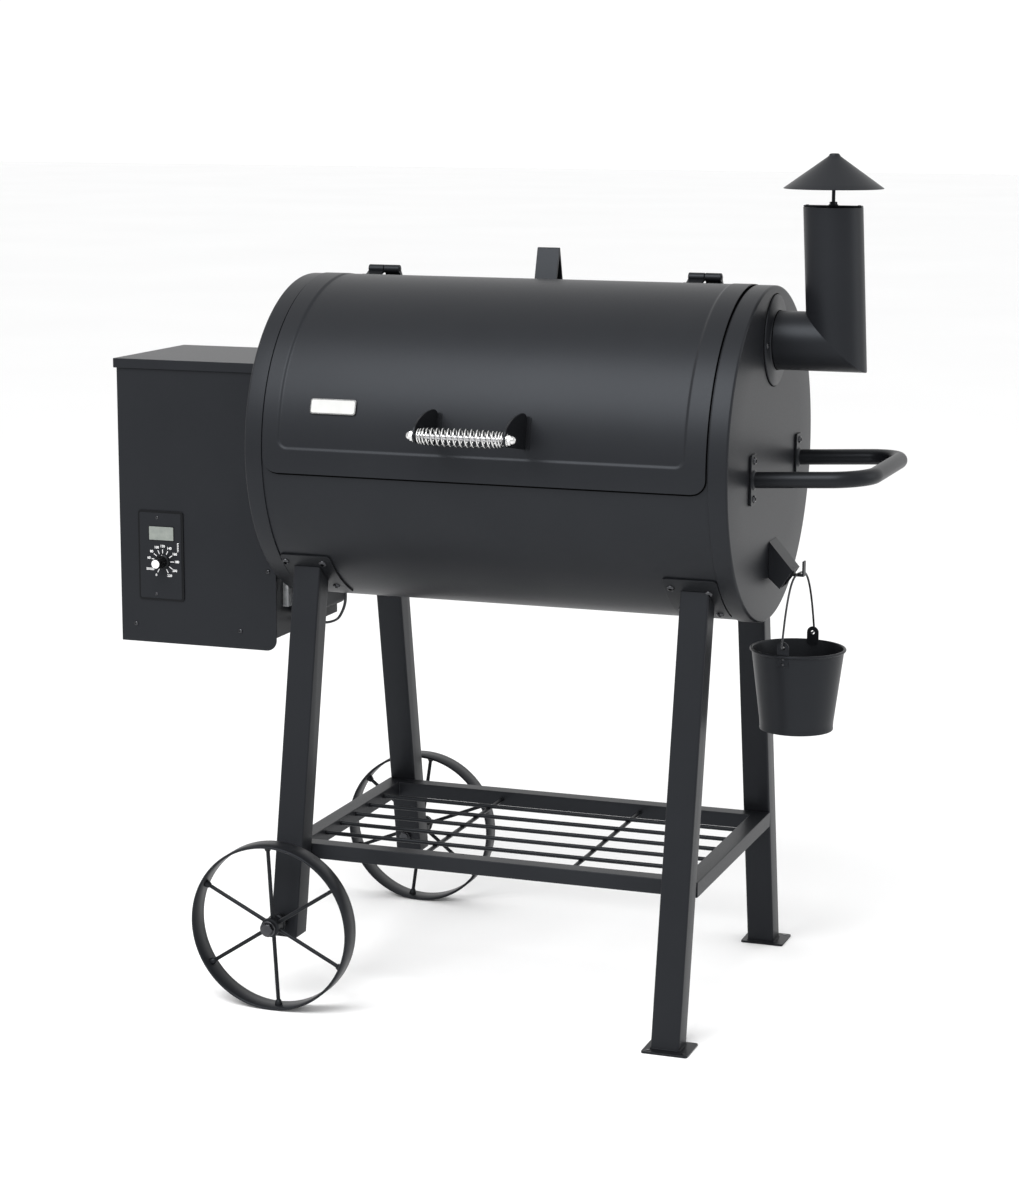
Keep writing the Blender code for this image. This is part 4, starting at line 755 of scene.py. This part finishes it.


# ---------------------------------------------------------------- side handle, bucket
def side_handle():
    wall_x = BARREL_HALF + GAP
    low, high = at("side_handle")
    radius, bend, tilt = 0.011, 0.050, 0.05
    x = high.x - radius
    front_y, rear_y, z = low.y + 0.015, high.y - 0.015, 0.750
    points = [(wall_x + 0.002, front_y), (wall_x + 0.02, front_y), (wall_x + 0.05, front_y)]
    points += arc((x - bend, front_y + bend), bend, -90, 0, 18)
    points += arc((x - bend, rear_y - bend), bend, 0, 90, 18)
    points += [(wall_x + 0.05, rear_y), (wall_x + 0.02, rear_y), (wall_x + 0.002, rear_y)]
    bm = bmesh.new()
    sweep(bm, [(px, py, z + tilt * (px - wall_x)) for px, py in points], radius, 36)
    for y in (front_y, rear_y):
        lathe(bm, [(radius + 0.0030, 0), (radius + 0.0024, 0.0010), (radius + 0.0010, 0.0020),
                   (radius - 0.001, 0.0034), (radius - 0.001, 0)],
              aim((wall_x + 0.003, y, z), (1, 0, 0)), 48, closed=True)
    emit("handle_bar", bm, COAT_DARK, BODY, "side_handle", angle=50)
    bm = bmesh.new()
    turn = Matrix.Rotation(pi / 2, 4, "Y") @ Matrix.Rotation(pi / 2, 4, "Z")
    for y in (front_y, rear_y):
        prism(bm, rounded(0.030, 0.068, 0.005), 0.003, Matrix.Translation((wall_x + 0.0015, y, z)) @ turn)
    emit("handle_plates", bm, COAT_DARK, BODY, edge=0.0006)
    bm = bmesh.new()
    for y in (front_y, rear_y):
        for rise in (-0.0255, 0.0255):
            button(bm, (wall_x + 0.003, y, z + rise), (1, 0, 0), 0.0052, 0.0026)
    emit("handle_screws", bm, FASTENER, BODY)


def bucket_place(along, height=0.0):
    x, y = 0.3815, 0.015
    return Vector((x - along * sin(BUCKET_TURN), y + along * cos(BUCKET_TURN), height))


def bucket():
    sheet, rim_z, low_z, top_r, low_r = 0.0012, 0.503, 0.388, 0.0645, 0.0500
    roll = 0.0021
    middle_r = top_r + 0.0001
    bm = bmesh.new()
    profile = [(0, low_z + 0.0034), (low_r - sheet - 0.003, low_z + 0.0034), (low_r - sheet, low_z + 0.0042)]
    profile += [(middle_r - roll * cos(radians(t)), rim_z - roll + roll * sin(radians(t)))
                for t in range(0, 241, 30)]
    profile += [(top_r - 0.0008, rim_z - 0.0050), (low_r + 0.0013, low_z + 0.012),
                (low_r + 0.0008, low_z + 0.0036), (low_r + 0.0012, low_z + 0.0018),
                (low_r + 0.0006, low_z + 0.0002), (low_r - 0.0004, low_z), (low_r - 0.0014, low_z + 0.0024),
                (0, low_z + 0.0024)]
    turn = Matrix.Translation(bucket_place(0)) @ Matrix.Rotation(BUCKET_TURN, 4, "Z")
    lathe(bm, profile, turn, 128)
    emit("bucket_pail", bm, COAT, "bucket_body", "grease_bucket", angle=45)

    for side, name in ((-1, "front"), (1, "rear")):
        place = (Matrix.Translation(bucket_place(side * EAR_Y, EAR_Z)) @ Matrix.Rotation(BUCKET_TURN, 4, "Z")
                 @ Matrix.Rotation(pi / 2, 4, "X"))
        bm = bmesh.new()
        prism(bm, [(0.0085, -0.026), *arc((0, 0), 0.0085, 0, 180, 20), (-0.0085, -0.026)], 0.002, place)
        ear = emit(f"bucket_ear_{name}", bm, COAT, "bucket_body", edge=0.0004)
        hole = bmesh.new()
        lathe(hole, [(0, -0.01), (0.0029, -0.01), (0.0029, 0.01), (0, 0.01)], place, 32)
        carve(ear, hole)
    bm = bmesh.new()
    for side in (-1, 1):
        way = Vector((-sin(BUCKET_TURN), cos(BUCKET_TURN), 0)) * side
        for z in (0.4975, 0.4905):
            lathe(bm, [(0, 0.0011), (0.0014, 0.0009), (0.0022, 0), (0.0022, -0.001), (0, -0.001)],
                  aim(bucket_place(side * (EAR_Y + 0.0014), z), way), 20)
    emit("ear_rivets", bm, FASTENER, "bucket_body")

    wire = 0.0015
    top = at("bucket_bail")[1].z - wire
    rise, span = top - EAR_Z, 0.0680
    points = [(-EAR_Y + 0.0048, -0.0012), (-EAR_Y + 0.0040, 0.0), (-EAR_Y + 0.002, 0.0),
              (-EAR_Y - 0.0018, 0.0), (-span + 0.0016, 0.0003)]
    count = 60
    for i in range(count + 1):
        share = -1 + 2 * i / count
        points.append((span * share, 0.0014 + (rise - 0.0014) * (1 - abs(share) ** 3)))
    points += [(-y, z) for y, z in points[:5]][::-1]
    line = [bucket_place(y, EAR_Z + z) for y, z in points]
    bm = bmesh.new()
    sweep(bm, flowing(line, 3), wire, 14)
    emit("bail_wire", bm, FASTENER, "bail_body", "bucket_bail", angle=60)


# ---------------------------------------------------------------- stand
def leg_frame(side, x):
    z = 0.330
    y = side * (LEG_FOOT_Y - math.tan(LEG_LEAN) * z)
    return Matrix.Translation((x, y, z)) @ Matrix.Rotation(side * LEG_LEAN, 4, "X")


def ring_prism(bm, outer, inner, low, high, place):
    """A hollow bar with the outlines of its outside and its bore, which have as many points."""
    loops = []
    for outline, z in ((outer, low), (outer, high), (inner, high), (inner, low)):
        loops.append([bm.verts.new(place @ Vector((px, py, z))) for px, py in outline])
    for a, b in zip(loops, loops[1:] + loops[:1]):
        for i in range(len(a)):
            j = (i + 1) % len(a)
            bm.faces.new((a[i], b[i], b[j], a[j]))


def legs():
    wall, corner, foot_sheet, wheel_cut = 0.0015, 0.003, 0.003, 0.094
    for end, x in (("left", middle("leg_front_left").x), ("right", -middle("leg_front_left").x)):
        for face, side in (("front", -1), ("rear", 1)):
            place = leg_frame(side, x)
            bm = bmesh.new()
            ring_prism(bm, rounded(*LEG_SIZE, corner, 5),
                       rounded(LEG_SIZE[0] - 2 * wall, LEG_SIZE[1] - 2 * wall, corner - wall, 5), -0.45, 0.45,
                       place)
            leg = emit(f"leg_tube_{face}_{end}", bm, COAT, BODY, f"leg_{face}_{end}", angle=50)
            floor = foot_sheet / 2 if end == "right" else wheel_cut
            cope = rod_cutter((-0.4, 0, AXIS_Z), (1, 0, 0), SHELL_RADIUS + 0.0025 + 3 * GAP, 0.8, 192)
            cuts = [cope, box_cutter((x - 0.05, -0.5, floor - 0.3), (x + 0.05, 0.5, floor))]
            if end == "left":
                cuts.append(rod_cutter((middle("wheel_front").x, side * 0.35 - 0.17, WHEEL_RADIUS), (0, 1, 0),
                                       0.0063, 0.34, 32))
            carve(leg, *cuts)
            if end == "right":
                foot_y = side * (LEG_FOOT_Y + 0.004)
                bm = bmesh.new()
                plate_place = Matrix.Translation((x + 0.003, foot_y, foot_sheet / 2))
                prism(bm, rounded(0.064, 0.056, 0.003), foot_sheet, plate_place)
                emit(f"foot_plate_{face}", bm, COAT_DARK, BODY, edge=0.0006)
                bm = bmesh.new()
                for dx in (-0.024, 0.024):
                    mark = (x + 0.003 + dx, foot_y + side * 0.021, foot_sheet)
                    lathe(bm, [(0, 0.0003), (0.0026, 0.0003), (0.0032, 0)], aim(mark, (0, 0, 1)), 24)
                emit(f"foot_marks_{face}", bm, FASTENER, BODY)
                bm = bmesh.new()
                bead = [place @ Vector((px * 1.02, py * 1.02, 0)) for px, py in rounded(*LEG_SIZE, corner, 4)]
                down = place.to_3x3() @ Vector((0, 0, 1))
                ring = [p + down * ((0.0034 - p.z) / down.z) for p in bead]
                sweep(bm, ring + [ring[0]], 0.0009, 8)
                emit(f"foot_weld_{face}", bm, COAT_DARK, BODY, angle=60)


def saddles():
    thick, half_width, centre_x = 0.0025, 0.0375, 0.2775
    holes = {"left": ((-0.310, -44), (-0.254, -44), (-0.255, -60), (-0.310, -63)),
             "right": ((0.249, -45), (0.300, -47), (0.302, -63), (0.252, -60))}
    for end, x in (("left", -centre_x), ("right", centre_x)):
        for face, low, high in (("front", -69.0, -40.3), ("rear", 220.3, 249.0)):
            radius = SHELL_RADIUS + thick + GAP
            length = radians(high - low) * radius

            def place(px, degrees, x=x, low=low, high=high, radius=radius, length=length, face=face):
                up = radians(degrees - low) * radius
                inset = 0.0
                corners = (0.012, 0.005) if face == "front" else (0.005, 0.012)
                for distance, corner in zip((up, length - up), corners):
                    if distance < corner:
                        inset = max(inset, corner - math.sqrt(max(corner ** 2 - (corner - distance) ** 2, 0)))
                return on_barrel(radius, degrees, x + (px - x) * (half_width - inset) / half_width)

            bm = bmesh.new()
            turns = spread((low, low + 3.2, 0.15), (low + 3.2, high - 3.2, 1.0), (high - 3.2, high, 0.15))
            grid(bm, spread((x - half_width, x + half_width, 0.003)), turns, place)
            emit(f"saddle_{face}_{end}", bm, COAT_DARK, BODY, f"leg_bracket_{face}_{end}", thick=thick,
                 edge=0.0006,
                 angle=50, recalc=False)
            bm = bmesh.new()
            for px, degrees in holes[end]:
                turn = degrees if face == "front" else 180 - degrees
                button(bm, on_barrel(radius, turn, px), outward(turn), 0.0055, 0.0028)
            emit(f"saddle_screws_{face}_{end}", bm, FASTENER, BODY)


def shelf():
    keep("shelf_frame", COAT, 0.0012)
    high = at("shelf_grid")[1]
    frame_low, frame_high = at("shelf_frame")
    wire, pitch, cross_x, drop = 0.003, 0.055, 0.109, 0.0048
    z = high.z - wire
    reach_x, reach_y = high.x + 0.0002, high.y + 0.0002
    bm = bmesh.new()
    for i in range(-2, 3):
        rod(bm, (-reach_x, i * pitch, z), (1, 0, 0), wire, 2 * reach_x, 20)
    for x in (-cross_x, cross_x):
        rod(bm, (x, -reach_y, z - drop), (0, 1, 0), wire, 2 * reach_y, 20)
        for i in range(-2, 3):
            lathe(bm, [(0, 0.0028), (0.0026, 0.0020), (0.0040, 0), (0, 0)],
                  aim((x, i * pitch, z - 0.0040), (0, 0, 1)), 12)
    emit("shelf_rods", bm, COAT_DARK, BODY, "shelf_grid", angle=50)
    bm = bmesh.new()
    for x in (-0.281, 0.281):
        for side in (-1, 1):
            button(bm, (x, side * frame_high.y, (frame_low.z + frame_high.z) / 2), (0, side, 0), 0.0040,
                   0.0016)
    emit("shelf_bolts", bm, FASTENER, BODY)


def wheels():
    band, edge, half, outer_y, axle_radius = 0.0035, 0.0009, 0.017, 0.2985, 0.006
    tip = WHEEL_RADIUS - band
    for face, side, phase in (("front", -1, 33.5), ("rear", 1, 22.0)):
        low, high = at(f"wheel_{face}")
        x = (low.x + high.x) / 2
        centre = Vector((x, side * (outer_y - half), WHEEL_RADIUS))
        body = f"wheel_{face}_body"
        bm = bmesh.new()
        lathe(bm, [(WHEEL_RADIUS - edge, -half), (WHEEL_RADIUS, -half + edge), (WHEEL_RADIUS, half - edge),
                   (WHEEL_RADIUS - edge, half),
                   (tip + edge, half), (tip, half - edge), (tip, -half + edge), (tip + edge, -half)],
              aim(centre, (0, 1, 0)), 192, closed=True)
        emit(f"wheel_band_{face}", bm, COAT, body, f"wheel_{face}", angle=50)
        bm = bmesh.new()
        for i in range(6):
            angle = radians(phase + 60 * i)
            way = Vector((cos(angle), 0, sin(angle)))
            lathe(bm, [(0, 0.006), (0.0030, 0.006), (0.0028, 0.03), (0.0027, tip + 0.0005),
                       (0, tip + 0.0005)], aim(centre, way), 20)
            lathe(bm, [(0.0028, tip - 0.0075), (0.0038, tip - 0.0068), (0.0050, tip - 0.0030),
                       (0.0054, tip - 0.0008), (0.0054, tip + 0.0004), (0.0028, tip + 0.0004)],
                  aim(centre, way), 24, closed=True)
        emit(f"wheel_spokes_{face}", bm, COAT_DARK, body, angle=50)
        bm = bmesh.new()
        bore = 0.00635
        rim = [(bore, 0.001), (0.0100, 0.001), (0.0105, 0.0004), (0.0105, -0.004), (0.0132, -0.005),
               (0.0136, -0.0062),
               (0.0136, -0.0085), (0.0122, -0.0100)]
        hub = [(r, -half - y) for r, y in rim] + [(0.0118, 0.0)] + [(r, half + y) for r, y in rim[::-1]]
        lathe(bm, hub, aim(centre, (0, 1, 0)), 64, closed=True)
        emit(f"wheel_hub_{face}", bm, COAT_DARK, body, angle=35)

        out_y, tip_y = side * 0.3001, side * 0.2060
        bm = bmesh.new()
        rod(bm, (x, tip_y, WHEEL_RADIUS), (0, side, 0), axle_radius, abs(out_y - tip_y), 32)
        hexagon(bm, (x, side * 0.2999, WHEEL_RADIUS), (0, side, 0), 0.0092, 0.0044, 0.0112)
        lathe(bm, [(0.0059, 0), (0.0095, 0), (0.0095, 0.0095), (0.0059, 0.0095)],
              aim((x, side * 0.2535, WHEEL_RADIUS), (0, side, 0)), 40, closed=True)
        hexagon(bm, (x, side * 0.2140, WHEEL_RADIUS), (0, -side, 0), 0.0092, 0.0060)
        emit(f"axle_bolt_{face}", bm, FASTENER, BODY, f"axle_{face}", angle=35)


# ---------------------------------------------------------------- hopper and controller
def hopper():
    keep("hopper_body", COAT, 0.0007)
    keep("hopper_lid", COAT, 0.0007)
    low, high = at("hopper_front_panel")
    width, height, corner = high.x - low.x, high.z - low.z, 0.016
    place = Matrix.Translation(((low.x + high.x) / 2, (low.y + high.y) / 2, (low.z + high.z) / 2)) @ ALONG_Y
    w, h = width / 2, height / 2
    outline = [(-w, -h), *arc((w - corner, -h + corner), corner, -90, 0, 12), (w, h), (-w, h)]
    bm = bmesh.new()
    prism(bm, outline, high.y - low.y, place)
    emit("hopper_fascia", bm, COAT, BODY, "hopper_front_panel", edge=0.0005)
    bm = bmesh.new()
    for x, z in ((-0.575, 0.494), (-0.408, 0.494), (-0.3635, 0.583)):
        button(bm, (x, low.y, z), (0, -1, 0), 0.0034, 0.0016)
    for z in (0.53, 0.68, 0.83):
        for y in (-0.085, 0.085):
            button(bm, (at("hopper_body")[0].x, y, z), (-1, 0, 0), 0.0034, 0.0016)
    for x in (-0.560, -0.392):
        for z in (0.53, 0.83):
            button(bm, (x, at("hopper_body")[1].y, z), (0, 1, 0), 0.0034, 0.0016)
    emit("hopper_screws", bm, FASTENER, BODY)


def print_number(bm, text, place):
    """Thin raised figures in the place's XY plane."""
    curve = bpy.data.curves.new("mark", "FONT")
    curve.body = text
    curve.size = 0.0050
    curve.extrude = 0.00005
    curve.offset = 0.00012
    curve.resolution_u = 3
    curve.align_x, curve.align_y = "CENTER", "CENTER"
    helper = bpy.data.objects.new("mark", curve)
    bpy.context.scene.collection.objects.link(helper)
    bpy.context.view_layer.update()
    data = bpy.data.meshes.new_from_object(helper.evaluated_get(bpy.context.evaluated_depsgraph_get()))
    data.transform(place)
    bm.from_mesh(data)
    bpy.data.objects.remove(helper, do_unlink=True)


def controller():
    low, high = at("controller_plate")
    x, z, y = (low.x + high.x) / 2, (low.z + high.z) / 2, low.y
    width, height = high.x - low.x, high.z - low.z
    bm = bmesh.new()
    prism(bm, rounded(width, height, 0.0045), high.y - low.y,
          Matrix.Translation((x, (low.y + high.y) / 2, z)) @ ALONG_Y)
    emit("controller_bezel", bm, PLASTIC, BODY, "controller_plate", edge=0.0003)
    bm = bmesh.new()
    prism(bm, rounded(width - 0.0062, height - 0.0062, 0.0024), 0.0005,
          Matrix.Translation((x - 0.0004, y - 0.00005, z)) @ ALONG_Y)
    emit("controller_face", bm, COAT, BODY, edge=0.0001)

    screen_low, screen_high = at("controller_display")
    screen_x, screen_z = (screen_low.x + screen_high.x) / 2, (screen_low.z + screen_high.z) / 2
    screen_width, screen_height = screen_high.x - screen_low.x, screen_high.z - screen_low.z
    bm = bmesh.new()
    prism(bm, rounded(screen_width + 0.002, screen_height + 0.002, 0.0012), 0.0006,
          Matrix.Translation((screen_x, screen_high.y - 0.0001, screen_z)) @ ALONG_Y)
    emit("display_seal", bm, PLASTIC, BODY, edge=0.0001)
    bm = bmesh.new()
    prism(bm, rounded(screen_width, screen_height, 0.0008), screen_high.y - screen_low.y,
          Matrix.Translation((screen_x, (screen_low.y + screen_high.y) / 2, screen_z)) @ ALONG_Y)
    emit("display_glass", bm, LCD, BODY, "controller_display", edge=0.0003)

    knob_low, knob_high = at("controller_knob")
    kx, kz = (knob_low.x + knob_high.x) / 2, (knob_low.z + knob_high.z) / 2
    base_y = knob_high.y
    depth = knob_high.y - knob_low.y
    place = aim((kx, base_y, kz), (0, -1, 0))
    bm = bmesh.new()
    lathe(bm, [(0, depth - 0.0006), (0.0058, depth - 0.0006), (0.0066, depth - 0.0010),
               (0.0071, depth - 0.0020), (0.0078, 0.0052), (0.0084, 0.0036),
               (0.0104, 0.0030), (0.0110, 0.0024), (0.0110, 0), (0, 0)], place, 64)
    for i in range(18):
        angle = 2 * pi * i / 18
        foot = place @ Vector((0.0077 * cos(angle), 0.0077 * sin(angle), 0.0052))
        tip = place @ Vector((0.0070 * cos(angle), 0.0070 * sin(angle), depth - 0.0030))
        sweep(bm, [foot, tip], 0.0005, 6)
    emit("knob_grip", bm, PLASTIC, "knob_body", "controller_knob", angle=40)
    bm = bmesh.new()
    lathe(bm, [(0, depth), (0.0054, depth), (0.0061, depth - 0.0003), (0.0062, depth - 0.0009),
               (0, depth - 0.0009)], place, 48)
    emit("knob_cap", bm, INK, "knob_body", angle=40)
    bm = bmesh.new()
    cuboid(bm, (-0.0004, 0.0082, 0.0030), (0.0004, 0.0104, 0.0033), 0.0001, place)
    emit("knob_pointer", bm, INK, "knob_body")

    print_y, ink = y - 0.00032, 0.00005
    bm = bmesh.new()
    marks = ((-118, "0"), (-150, None), (168, "60"), (141, "80"), (115, "100"), (90, "120"), (62, "140"),
             (32, "160"), (2, "180"),
             (-33, "200"), (-62, "220"))
    for turn_deg, text in marks:
        angle = radians(turn_deg)
        way = Vector((cos(angle), 0, sin(angle)))
        side = Vector((-way.z, 0, way.x))
        centre = Vector((kx, print_y, kz))
        tick = ((0.0122, -0.0005), (0.0180, -0.0005), (0.0180, 0.0005), (0.0122, 0.0005))
        corners = [centre + way * along + side * across for along, across in tick]
        prism(bm, [(p.x, p.z) for p in corners], 0.0001, Matrix.Translation((0, print_y, 0)) @ ALONG_Y)
        at_text = centre + way * (0.0226 if text else 0.0236)
        if text is None:
            for row in range(3):
                low_x, low_z = at_text.x - 0.0060, at_text.z - 0.0012 + row * 0.0012
                cuboid(bm, (low_x, print_y - ink, low_z), (low_x + 0.0125, print_y + ink, low_z + 0.0006), 0)
            continue
        print_number(bm, text, Matrix.Translation(at_text) @ ALONG_Y)
    for i in range(8):
        low_x, low_z, length = x + 0.0262, kz + 0.0155 + i * 0.0017, 0.0026 if i % 2 else 0.0017
        cuboid(bm, (low_x, print_y - ink, low_z), (low_x + length, print_y + ink, low_z + 0.0009), 0)
    emit("dial_print", bm, INK, BODY)
    bm = bmesh.new()
    button(bm, (-0.5370, y - 0.0003, 0.6520), (0, -1, 0), 0.0024, 0.0010)
    button(bm, (-0.5400, y - 0.0003, 0.5400), (0, -1, 0), 0.0024, 0.0010)
    emit("controller_screws", bm, FASTENER, BODY)


def lead():
    line = [(-0.274, 0.5500), (-0.2737, 0.5400), (-0.2750, 0.5300), (-0.2790, 0.5190), (-0.2862, 0.5080),
            (-0.2985, 0.5022), (-0.3120, 0.5005),
            (-0.3260, 0.5005), (-0.3400, 0.5025), (-0.3480, 0.5040), (-0.3560, 0.5045)]
    bm = bmesh.new()
    for side in (-1, 1):
        points = flowing([(px, -0.040 + side * 0.0012, pz) for px, pz in line], 5)
        sweep(bm, points, 0.0017, 14)
    emit("lead_wires", bm, RUBBER, BODY, "igniter_lead", angle=60)


barrel()
lid()
grip()
hinges()
lid_stop()
chimney()
side_handle()
bucket()
legs()
saddles()
shelf()
wheels()
hopper()
controller()
lead()
for look, edge, nodes in (
    (COAT, 0.0005, ("grease_chute", "air_duct")),
    (FASTENER, 0.0004, ("hopper_lid_hinge",)),
    (GALVANISED, 0.0003, ("hopper_funnel", "hopper_guard", "auger_tube", "auger_screw", "fan_housing",
                          "fire_pot",
                          "igniter_rod", "heat_baffle", "drip_tray", "hopper_mount_plate")),
    (CAST, 0.0010, ("grate_left", "grate_right")),
    (PLASTIC, 0.0004, ("power_inlet", "auger_motor", "fan_wheel")),
    (CHROME, 0.0003, ("temperature_probe",)),
):
    for node_name in nodes:
        keep(node_name, look, edge)


# ---------------------------------------------------------------- floor, light, camera
def studio():
    bm = bmesh.new()
    bmesh.ops.create_grid(bm, x_segments=8, y_segments=8, size=40)
    data = bpy.data.meshes.new("floor")
    bm.to_mesh(data)
    bm.free()
    data.materials.append(finish("pale_floor", (0.90, 0.90, 0.90), (0.92, 0.92, 0.92), 0.75, 0.05,
                                 specular=0.1, cloud=0.6, grain=60, bump=0.02))
    floor = bpy.data.objects.new("floor", data)
    floor.location = (0, 0, cad_low.z - 0.0002)
    bpy.context.scene.collection.objects.link(floor)

    world = bpy.data.worlds.new("studio")
    bpy.context.scene.world = world
    world.use_nodes = True
    back = world.node_tree.nodes["Background"]
    back.inputs["Color"].default_value = (1.0, 1.0, 1.0, 1.0)
    back.inputs["Strength"].default_value = 1.07

    def soft(name, place, target, size, power):
        lamp = bpy.data.lights.new(name, "AREA")
        lamp.shape = "RECTANGLE"
        lamp.size, lamp.size_y = size
        lamp.energy = power
        obj = bpy.data.objects.new(name, lamp)
        obj.location = place
        obj.rotation_mode = "QUATERNION"
        obj.rotation_quaternion = (Vector(place) - Vector(target)).to_track_quat("Z", "Y")
        bpy.context.scene.collection.objects.link(obj)

    soft("key", (-0.4, -2.1, 2.9), (0, 0, 0.85), (2.4, 2.0), 112)
    soft("right", (3.2, 0.6, 1.6), (0, 0, 0.6), (1.6, 2.4), 16)


def camera():
    lens = bpy.data.cameras.new("camera")
    lens.sensor_width = 36.0
    lens.lens = 82.159
    lens.clip_end = 100
    obj = bpy.data.objects.new("camera", lens)
    place, target = Vector((1.30067, -3.61023, 1.25774)), Vector((0.008385, 0.007293, 0.544124))
    roll = radians(0.186)
    ahead = (target - place).normalized()
    right = ahead.cross(Vector((0, 0, 1))).normalized()
    up = right.cross(ahead)
    tilted = right * cos(roll) + up * sin(roll)
    turn = Matrix((tilted, tilted.cross(ahead), -ahead)).transposed()
    obj.matrix_world = Matrix.Translation(place) @ turn.to_4x4()
    bpy.context.scene.collection.objects.link(obj)
    bpy.context.scene.camera = obj


studio()
camera()
bpy.context.scene.view_settings.view_transform = "Standard"
